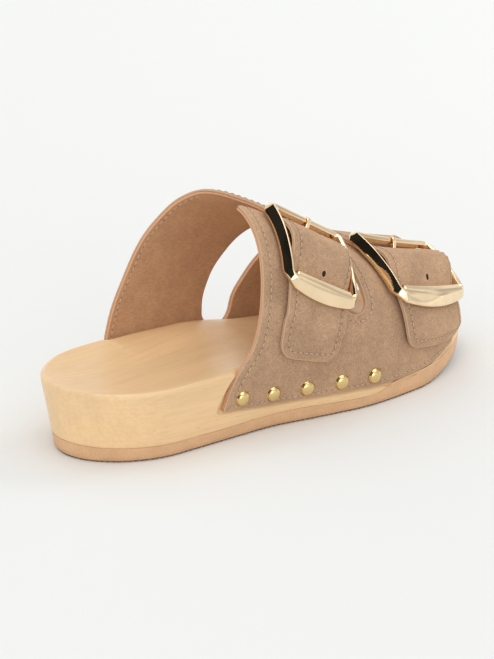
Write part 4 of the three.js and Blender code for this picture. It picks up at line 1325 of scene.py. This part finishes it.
def rail_rings(strap):
    """Rings of a buckle's frame, with a wide lower rail whose outer edge arches."""
    buckle = strap.buckle
    across, up, out_across, out_up = frame_path(strap.width, strap.length, buckle.corner).T[:, :, None]
    weight = out_up ** 2
    face = mix(buckle.side_face, np.where(out_up > 0, buckle.top_face, buckle.lower_face), weight)
    raised = smooth(0.1, 0.95, np.abs(out_up))
    side_seat = strap.low_rail + buckle.depth - buckle.side_depth
    seat = mix(side_seat, np.where(out_up > 0, strap.top_rail, strap.low_rail), raised)
    depth = mix(buckle.side_depth, buckle.depth, raised)
    arched = 1 - (across / (strap.width / 2)) ** 2
    arch = buckle.lower_arch * arched * np.minimum(out_up, 0) ** 2
    inward = face - RAIL_SECTION["out"] * (face + arch)
    height = seat + depth * mix(RAIL_SECTION["side"], RAIL_SECTION["cross"], raised)
    height = height - strap.STRAIGHTENED * (1 - (up / (strap.length / 2)) ** 2)
    return plate_point(strap, across - out_across * inward, up - out_up * inward, height)


def plate_point(strap, across, up, height):
    """A point over the stiff plate of a frame, which bends evenly through nine points of the upper."""
    shares = (across / (strap.width / 2), up / (strap.length / 2))
    weights = [(share * (share - 1) / 2, 1 - share ** 2, share * (share + 1) / 2) for share in shares]
    base = np.zeros(np.broadcast(across, up, height).shape + (3,))
    out = np.zeros_like(base)
    for i, to_side in enumerate((-1, 0, 1)):
        for j, to_end in enumerate((-1, 0, 1)):
            place = (np.array(to_side * strap.width / 2), np.array(to_end * strap.length / 2))
            weight = (weights[0][i] * weights[1][j])[..., None]
            base = base + weight * strap.point(*place, np.array(0.0))
            out = out + weight * strap.outward(*place)
    return base + unit(out) * height[..., None]


def rod_rings(strap, places, radii, sides):
    """Round rings through places given as across, up and height."""
    places = np.array(places, float)
    axis = strap.point(places[:, 0], places[:, 1], places[:, 2])
    return sweep_rings(axis, strap.outward(places[:, 0], places[:, 1]), radii, sides)


class MULE_OT_buckles(bpy.types.Operator):
    """Makes the two curved frames with their bars."""
    bl_idname = "mule.buckles"
    bl_label = "Buckles"

    def execute(self, context):
        scene = context.scene
        last = Last(scene)
        for name in STRAPS:
            strap = Strap(last, scene, name)
            shape = Shape()
            loft(shape, rail_rings(strap), closed=True)
            reach = strap.width / 2 - strap.buckle.side_face / 2
            radius = strap.buckle.bar / 2
            places = [(share * reach, 0, strap.bar_seat + radius) for share in np.linspace(-1, 1, 21)]
            loft(shape, rod_rings(strap, places, [radius] * len(places), 24))
            piece = shape.mesh(f"{name}_frame", "polished_pale_gold")
            even_shading(piece)
            dress(piece, "pale_gold", f"{name}_buckle")
        return {"FINISHED"}


class MULE_OT_prongs(bpy.types.Operator):
    """Makes the prongs, which come up through the straps and rest on the top rails."""
    bl_idname = "mule.prongs"
    bl_label = "Prongs"

    # How deep the tongue lies in the strap, how flat it is, and over what length it rises to the rail.
    SUNK = 1.35
    FLATNESS = 0.4
    RISE = mm(4)
    # How far it starts below the bar's middle, and where it ends on the top rail in shares of its face.
    BELOW = mm(1)
    OVER_RAIL = 0.55

    def execute(self, context):
        scene = context.scene
        last = Last(scene)
        for name in STRAPS:
            strap = Strap(last, scene, name)
            buckle = strap.buckle
            radius = buckle.prong / 2
            rail = strap.length / 2 - buckle.top_face
            tip = rail + buckle.top_face * self.OVER_RAIL
            ups = np.concatenate([np.linspace(-self.BELOW, rail, 24, endpoint=False),
                                  mix(rail, tip, np.sin(np.linspace(0, np.pi / 2, 12)))])
            hidden = strap.underside(ups) + strap.upper.strap - radius * self.SUNK
            on_rail = strap.top_rail + buckle.depth + radius * self.FLATNESS
            height = mix(hidden, on_rail, smooth(rail - self.RISE, rail + mm(0.4), ups))
            shown = np.sqrt(np.clip(1 - ((ups - rail) / (tip - rail)).clip(0, 1) ** 2, 0.02, 1))
            start = np.sqrt(np.clip((ups + self.BELOW) / mm(0.8), 0.05, 1))
            places = np.stack([np.zeros_like(ups), ups, height], axis=-1)
            radii = np.stack([radius * shown * start, radius * self.FLATNESS * shown * start], axis=-1)
            shape = Shape()
            loft(shape, rod_rings(strap, places, radii, 20))
            piece = shape.mesh(f"{name}_tongue", "polished_pale_gold")
            dress(piece, "pale_gold", f"{name}_prong")
        return {"FINISHED"}


class MULE_OT_studs(bpy.types.Operator):
    """Makes the domed brass studs along both hems."""
    bl_idname = "mule.studs"
    bl_label = "Studs"

    COUNT = 5
    SEGMENTS = 40
    # Height of a stud's middle over the hem, along the upper.
    OVER_HEM = mm(5.2)

    def execute(self, context):
        scene = context.scene
        last = Last(scene)
        buckle = scene.mule_buckles
        angle = 2 * np.pi * np.arange(self.SEGMENTS) / self.SEGMENTS
        rise = np.linspace(0, np.pi / 2, 12)
        radius = np.concatenate([[0.97, 1.0, 1.0], 0.93 * np.cos(rise[:-1]), [0.001]]) * buckle.stud / 2
        height = np.concatenate([[0.0, 0.03, 0.14], 0.2 + 0.8 * np.sin(rise[:-1]), [1.0]])
        height = height * buckle.stud_height
        for side, sign in (("lateral", 1), ("medial", -1)):
            for number in range(1, self.COUNT + 1):
                node_name = f"{side}_stud_{number}"
                low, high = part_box(node_name)
                centre = (np.array(low) + np.array(high)) / 2
                along = centre[1] / scene.mule_sole.length + 0.5
                share = self.OVER_HEM / last.total(along)
                around = share if sign > 0 else 1 - share
                out = last.normal(np.array(along), np.array(around))
                foot = centre - out * buckle.stud_height / 2
                first = unit(np.cross(out, (0.0, 0.0, 1.0)))
                second = np.cross(out, first)
                ring = first * np.cos(angle)[:, None] + second * np.sin(angle)[:, None]
                rings = foot + ring[None] * radius[:, None, None] + out * height[:, None, None]
                shape = Shape()
                loft(shape, rings)
                piece = shape.mesh(f"{side}_dome_{number}", "polished_brass")
                dress(piece, "stud_brass", node_name)
        return {"FINISHED"}


# Stitching and punched holes

# A stitch: along in stitch lengths, how high its middle lies and how wide it is in thread diameters.
STITCH = table(
    "along lift width",
    (-0.50, -0.60, 0.35),
    (-0.44, -0.10, 0.80),
    (-0.26, 0.16, 1.00),
    (0.00, 0.22, 1.00),
    (0.26, 0.16, 1.00),
    (0.44, -0.10, 0.80),
    (0.50, -0.60, 0.35),
)
STITCH_SIDES = 6
HOLE_LIFT = mm(0.04)


def add_stitches(shape, line, out, thread):
    """Adds a row of stitches with a dark disc for each needle hole between them, partly pressed suede and
    partly painted shade. out is the outward direction.
    """
    line = np.asarray(line, float)
    steps = np.linalg.norm(np.diff(line, axis=0), axis=1)
    lengths = np.concatenate(([0], np.cumsum(steps)))
    count = int(lengths[-1] / thread.pitch)
    if count < 1:
        return
    pitch = lengths[-1] / count
    start = (np.arange(count) + 0.5) * pitch

    def at(places, values):
        return np.stack([np.interp(places, lengths, values[:, i]) for i in range(3)], axis=-1)

    spread = STITCH["along"] * thread.stitch
    lift = STITCH["lift"] * thread.thread
    width = STITCH["width"] * thread.thread / 2
    places = start[:, None] + spread[None]
    centre = at(places.ravel(), line).reshape(count, -1, 3)
    normal = unit(at(places.ravel(), out).reshape(count, -1, 3))
    tangent = unit(np.gradient(centre, axis=1))
    sideways = np.cross(tangent, normal)
    centre = centre + normal * lift[None, :, None]
    angle = 2 * np.pi * np.arange(STITCH_SIDES) / STITCH_SIDES
    rings = centre[:, :, None] + width[None, :, None, None] * (
        sideways[:, :, None] * np.cos(angle)[None, None, :, None]
        + normal[:, :, None] * np.sin(angle)[None, None, :, None])
    tube = grid_faces(len(spread), STITCH_SIDES, wrap=True)
    offsets = (np.arange(count) * len(spread) * STITCH_SIDES)[:, None, None]
    faces = (tube[None] + offsets).reshape(-1, 4)
    shape.add(rings, faces[:, ::-1], 0)
    # Each needle hole is a flat disc just over the face; its darker colour is partly pressed suede and
    # partly painted shade.
    holes = (np.arange(count + 1)) * pitch
    centre = at(holes, line)
    normal = unit(at(holes, out))
    tangent = unit(at(holes + mm(0.1), line) - at(holes - mm(0.1), line))
    sideways = np.cross(tangent, normal)
    disc = np.stack([np.cos(angle), np.sin(angle)], axis=-1) * thread.thread * 0.5
    rings = centre[:, None] + normal[:, None] * HOLE_LIFT + tangent[:, None] * disc[None, :, :1]
    rings = rings + sideways[:, None] * disc[None, :, 1:]
    faces = np.arange(len(holes) * STITCH_SIDES).reshape(-1, STITCH_SIDES)
    shape.add(rings, faces[:, ::-1], 1)


def seam(last, along, around, height):
    """A line on the upper with its outward directions."""
    along, around = np.broadcast_arrays(along, around)
    return last.wall(along, around, height), last.normal(along, around)


class MULE_OT_stitching(bpy.types.Operator):
    """Sews the stitch rows along the edges of the upper and its tabs."""
    bl_idname = "mule.stitching"
    bl_label = "Stitching"

    # Distance of the hem's rows, and in margins that of the row inside and of the quarter's rear row.
    HEM_MARGIN = mm(2.0)
    INSIDE_SHARE = 0.7
    REAR_SHARE = 1.25
    # Where the rows start and end: around the section for the edges, and along the sole for the hems.
    LATERAL_ROW = (0.03, LATERAL_TOP - 0.006)
    MEDIAL_ROW = (JOIN_END, 0.975)
    LATERAL_HEM = (0.288, 0.872)
    MEDIAL_HEM = (0.232, 0.855)

    def execute(self, context):
        scene = context.scene
        last = Last(scene)
        thread = scene.mule_thread
        length = last.sole.length
        margin = thread.margin / length
        wall = scene.mule_upper.wall
        shape = Shape()
        rear = column(LATERAL_EDGES, "around", "rear")
        toe = column(LATERAL_EDGES, "around", "front")
        around = np.linspace(*self.LATERAL_ROW, 160)
        add_stitches(shape, *seam(last, rear(around) + margin * self.REAR_SHARE, around, wall), thread)
        add_stitches(shape, *seam(last, toe(around) - margin, around, wall), thread)
        along = np.linspace(*self.LATERAL_HEM, 200)
        add_stitches(shape, *seam(last, along, self.HEM_MARGIN / last.total(along), wall), thread)
        self.slot_row(shape, last, LATERAL_EDGES, SLOT_LATERAL_END, LATERAL_TOP, 1, wall, thread)
        around = np.linspace(*self.MEDIAL_ROW, 200)
        rear = column(MEDIAL_EDGES, "around", "rear")
        toe = column(MEDIAL_EDGES, "around", "front")
        height = self.medial_height(scene, around)
        add_stitches(shape, *seam(last, rear(around) + margin, around, height), thread)
        add_stitches(shape, *seam(last, toe(around) - margin, around, height), thread)
        low = (wall + scene.mule_upper.gap) * smooth(CLIMB[0], CLIMB[1], around)
        line, out = seam(last, rear(around) + margin * self.INSIDE_SHARE, around, low)
        add_stitches(shape, line, -out, thread)
        along = np.linspace(*self.MEDIAL_HEM, 220)
        add_stitches(shape, *seam(last, along, 1 - self.HEM_MARGIN / last.total(along), wall), thread)
        self.slot_row(shape, last, MEDIAL_EDGES, SLOT_MEDIAL_END, JOIN_END, -1, wall, thread)
        for name in STRAPS:
            strap = Strap(last, scene, name)
            self.tab_row(shape, strap, thread)
            self.join_rows(shape, strap, thread)
        piece = shape.mesh("stitching", "waxed_thread", "needle_hole")
        dress(piece, "suede")
        return {"FINISHED"}

    def join_rows(self, shape, strap, thread):
        """Rows along both edges of a strap, from its frame to where it joins the medial piece."""
        begin_at = strap.tab + strap.length / 2 + mm(2)
        sheet = StrapSheet(strap, np.linspace(begin_at, strap.full, 60))
        near = (thread.margin / (2 * sheet.half))[:, None]
        wide_near = (thread.margin / sheet.wide)[:, None]
        for shares, wide_shares in ((near, wide_near), (1 - near, 1 - wide_near)):
            along, around, _, high = (values[:, 0] for values in sheet.place(shares, wide_shares))
            add_stitches(shape, *seam(strap.last, along, around, high), thread)

    def medial_height(self, scene, around):
        """Height of the medial piece's face."""
        upper = scene.mule_upper
        settled = smooth(CLIMB[1], CLIMB[0], around)
        return mix(upper.wall + upper.gap + upper.strap, upper.wall, settled)

    def slot_row(self, shape, last, rows, end, far, direction, wall, thread):
        """A row round the slot's end and along both of its edges."""
        away = thread.margin
        length = last.sole.length
        around = np.linspace(far, end + direction * SLOT_ROUND, 70)
        back = column(rows, "around", "slot_back")
        front = column(rows, "around", "slot_front")
        turn = np.linspace(0, np.pi, 40)
        middle = (back(end) + front(end)) / 2
        half = (front(around[-1]) - back(around[-1])) / 2 + away / length
        deep = SLOT_ROUND + away / last.total(middle)
        arc_along = middle - half * np.cos(turn)
        arc_around = end + direction * (SLOT_ROUND - deep * np.sin(turn))
        along = np.concatenate([back(around) - away / length, arc_along[1:-1],
                                front(around[::-1]) + away / length])
        around = np.concatenate([around, arc_around[1:-1], around[::-1]])
        height = self.medial_height(bpy.context.scene, around) if direction < 0 else wall
        add_stitches(shape, *seam(last, along, around, height), thread)

    def tab_row(self, shape, strap, thread):
        """A row down one side of a strap, round the end of its tab and up the other side."""
        margin = thread.margin
        side = strap.half - margin
        top = strap.length / 2 + mm(2)
        corner = strap.upper.tab_corner
        radius = corner - margin
        turn = np.linspace(0, np.pi / 2, 14)
        ups = np.linspace(top, -strap.tab + corner, 150)
        bottom = -strap.tab + corner
        across = np.concatenate([
            np.full(150, -side), -strap.half + corner - radius * np.cos(turn),
            np.linspace(-strap.half + corner, strap.half - corner, 30)[1:-1],
            strap.half - corner + radius * np.sin(turn), np.full(150, side)])
        up = np.concatenate([
            ups, bottom - radius * np.sin(turn), np.full(28, bottom - radius),
            bottom - radius * np.cos(turn), ups[::-1]])
        up = up - strap.slant(across, up + strap.tab)
        height = strap.underside(up) + strap.swell(across, up) + strap.upper.strap
        add_stitches(shape, strap.point(across, up, height), strap.outward(across, up), thread)


class MULE_OT_holes(bpy.types.Operator):
    """Lays a cut rim and a dark disc of painted shade at each hole in each strap."""
    bl_idname = "mule.holes"
    bl_label = "Strap holes"

    RADIUS = mm(1.15)
    NARROW = 0.8
    PLACES = {"rear": (mm(-10), mm(7)), "front": (mm(-8), mm(9))}

    def execute(self, context):
        scene = context.scene
        last = Last(scene)
        angle = np.linspace(0, 2 * np.pi, 25)[:-1]
        shape = Shape()
        for name, ups in self.PLACES.items():
            strap = Strap(last, scene, name)
            for middle in ups:
                rings = []
                for share, lift in ((1.25, 0.02), (1.12, 0.1), (1.0, 0.06), (0.9, 0.02), (0.0, 0.03)):
                    across = self.RADIUS * self.NARROW * share * np.cos(angle)
                    up = middle + self.RADIUS * share * np.sin(angle)
                    height = strap.underside(up) + strap.swell(across, up) + strap.upper.strap
                    rings.append(strap.point(across, up, height + mm(lift)))
                rings = np.array(rings)
                faces = grid_faces(len(rings), len(angle), wrap=True)
                rim = 2 * len(angle)
                # The rim is cut suede; the nearly flat disc inside it is painted shade where the hole's
                # inside would be.
                shape.add(rings, faces[:rim], 0)
                shape.add(rings, faces[rim:], 1)
        piece = shape.mesh("punched_holes", "cut_suede", "punched_hole")
        dress(piece, "suede")
        return {"FINISHED"}


# Stage

CAMERA_PLACE = (1.0570, -0.93625, 0.5319)
CAMERA_AIM = (0.0, -0.00988, 0.03529)
PHOTO_SIZE = (494, 659)
FOCAL_PIXELS = 3160
SENSOR = 36


class MULE_OT_stage(bpy.types.Operator):
    """Sets the pale floor, the soft studio light and the camera."""
    bl_idname = "mule.stage"
    bl_label = "Stage"

    FLOOR = 30.0

    # Name, place, width and power of each soft box.
    BOXES = (
        ("overhead_box", (-0.3, -0.2, 1.9), 1.9, 3.5),
        ("lateral_box", (1.1, -2.0, 1.3), 1.8, 11.0),
        ("medial_box", (-1.9, 0.5, 1.0), 1.5, 3.4),
        ("toe_box", (0.2, 1.6, 1.1), 1.0, 8.0),
    )

    # Patches of the mirrored room: direction, where the patch starts and is full, its strength outside
    # and inside, and how it joins the rest. The first gives the metal its dark bands, the second dims
    # what lies ahead, and two small ones glow.
    PATCHES = (
        ((-0.25, -0.85, 0.45), (0.5, 0.62), (1.05, 0.02), "MULTIPLY"),
        ((0.1, 0.9, 0.42), (0.55, 0.95), (1.0, 0.7), "MULTIPLY"),
        ((0.1, 0.05, 1.0), (0.81, 0.86), (0.0, 1.6), "ADD"),
        ((0.85, -0.5, 0.22), (0.89, 0.94), (0.0, 1.6), "ADD"),
    )
    CLOUD = {"Scale": 3.2, "Detail": 1.0, "Roughness": 0.5}
    CLOUD_RANGE = {"From Min": 0.36, "From Max": 0.6, "To Min": 0.74, "To Max": 1.2}
    EVEN_LIGHT = 0.715
    ROOM_COLOUR = "fbfbfa"

    def execute(self, context):
        scene = context.scene
        half = self.FLOOR / 2
        mesh = bpy.data.meshes.new("floor")
        mesh.from_pydata([(-half, -half, 0), (half, -half, 0), (half, half, 0), (-half, half, 0)],
                         [], [(0, 1, 2, 3)])
        mesh.materials.append(finish("backdrop_paper"))
        floor = bpy.data.objects.new("floor", mesh)
        scene.collection.objects.link(floor)
        self.lights(scene)
        self.world(scene)
        self.camera(scene)
        scene.view_settings.view_transform = "Standard"
        return {"FINISHED"}

    def lights(self, scene):
        """Large soft boxes overhead and on three sides, which the metal doesn't mirror."""
        for name, place, width, power in self.BOXES:
            light = bpy.data.lights.new(name, "AREA")
            light.shape = "SQUARE"
            light.size = width
            light.energy = power
            lamp = bpy.data.objects.new(name, light)
            lamp.location = place
            lamp.visible_glossy = False
            lamp.rotation_mode = "QUATERNION"
            lamp.rotation_quaternion = (-Vector(place)).to_track_quat("-Z", "Y")
            scene.collection.objects.link(lamp)

    def world(self, scene):
        """The room that the metal mirrors, and the even light that all else gets from it."""
        world = bpy.data.worlds.new("studio")
        scene.world = world
        world.use_nodes = True
        tree = world.node_tree
        tree.nodes.clear()
        place = node(tree, "ShaderNodeTexCoord").outputs["Generated"]
        cloud = node(tree, "ShaderNodeTexNoise", inputs={"Vector": place, **self.CLOUD}).outputs[0]
        shade = node(tree, "ShaderNodeMapRange", {"interpolation_type": "SMOOTHSTEP"},
                     {"Value": cloud, **self.CLOUD_RANGE}).outputs[0]
        for direction, (start, full), (outside, inside), operation in self.PATCHES:
            toward = node(tree, "ShaderNodeVectorMath", {"operation": "DOT_PRODUCT"},
                          {0: place, 1: Vector(direction).normalized()}).outputs["Value"]
            patch = node(tree, "ShaderNodeMapRange", {"interpolation_type": "SMOOTHSTEP"},
                         {"Value": toward, "From Min": start, "From Max": full, "To Min": outside,
                          "To Max": inside}).outputs[0]
            shade = node(tree, "ShaderNodeMath", {"operation": operation}, {0: shade, 1: patch}).outputs[0]
        paths = node(tree, "ShaderNodeLightPath")
        diffuse = node(tree, "ShaderNodeMath", {"operation": "MAXIMUM"},
                       {0: paths.outputs["Is Diffuse Ray"], 1: paths.outputs["Is Camera Ray"]}).outputs[0]
        strength = node(tree, "ShaderNodeMix", {"data_type": "FLOAT"},
                        {0: diffuse, 2: shade, 3: self.EVEN_LIGHT}).outputs[0]
        back = node(tree, "ShaderNodeBackground",
                    inputs={"Color": rgba(srgb(self.ROOM_COLOUR)), "Strength": strength})
        node(tree, "ShaderNodeOutputWorld", inputs={"Surface": back.outputs[0]})

    def camera(self, scene):
        """The photo's own viewing angle, closer in on the one shoe."""
        data = bpy.data.cameras.new("camera")
        data.sensor_width = SENSOR
        data.lens = SENSOR * FOCAL_PIXELS / max(PHOTO_SIZE)
        camera = bpy.data.objects.new("camera", data)
        camera.location = CAMERA_PLACE
        camera.rotation_mode = "QUATERNION"
        aim = Vector(CAMERA_AIM) - Vector(CAMERA_PLACE)
        camera.rotation_quaternion = aim.to_track_quat("-Z", "Y")
        scene.collection.objects.link(camera)
        scene.camera = camera


class MULE_PT_panel(bpy.types.Panel):
    """Lists the steps that make the shoe."""
    bl_idname = "MULE_PT_panel"
    bl_label = "Mule"
    bl_space_type = "VIEW_3D"
    bl_region_type = "UI"
    bl_category = "Mule"

    def draw(self, context):
        for operator in OPERATORS:
            self.layout.operator(operator.bl_idname)
        for name in GROUPS:
            group = getattr(context.scene, name)
            column_box = self.layout.column()
            for key in type(group).__annotations__:
                column_box.prop(group, key)


GROUPS = {
    "mule_sole": SoleSizes,
    "mule_upper": UpperSizes,
    "mule_buckles": BuckleSizes,
    "mule_thread": ThreadSizes,
    "mule_colours": MuleColours,
}

OPERATORS = (
    MULE_OT_outsole,
    MULE_OT_sole,
    MULE_OT_upper,
    MULE_OT_keepers,
    MULE_OT_buckles,
    MULE_OT_prongs,
    MULE_OT_studs,
    MULE_OT_stitching,
    MULE_OT_holes,
    MULE_OT_stage,
)


def register():
    """Adds the classes and the scene's properties."""
    for group in (*GROUPS.values(), *OPERATORS, MULE_PT_panel):
        bpy.utils.register_class(group)
    for name, group in GROUPS.items():
        setattr(bpy.types.Scene, name, PointerProperty(type=group))


def unregister():
    """Takes the properties and classes away again."""
    for name in GROUPS:
        delattr(bpy.types.Scene, name)
    for group in (MULE_PT_panel, *reversed(OPERATORS), *GROUPS.values()):
        bpy.utils.unregister_class(group)


def main():
    """Makes the whole shoe."""
    register()
    for operator in OPERATORS:
        group, name = operator.bl_idname.split(".")
        getattr(getattr(bpy.ops, group), name)()


if __name__ == "__main__":
    main()
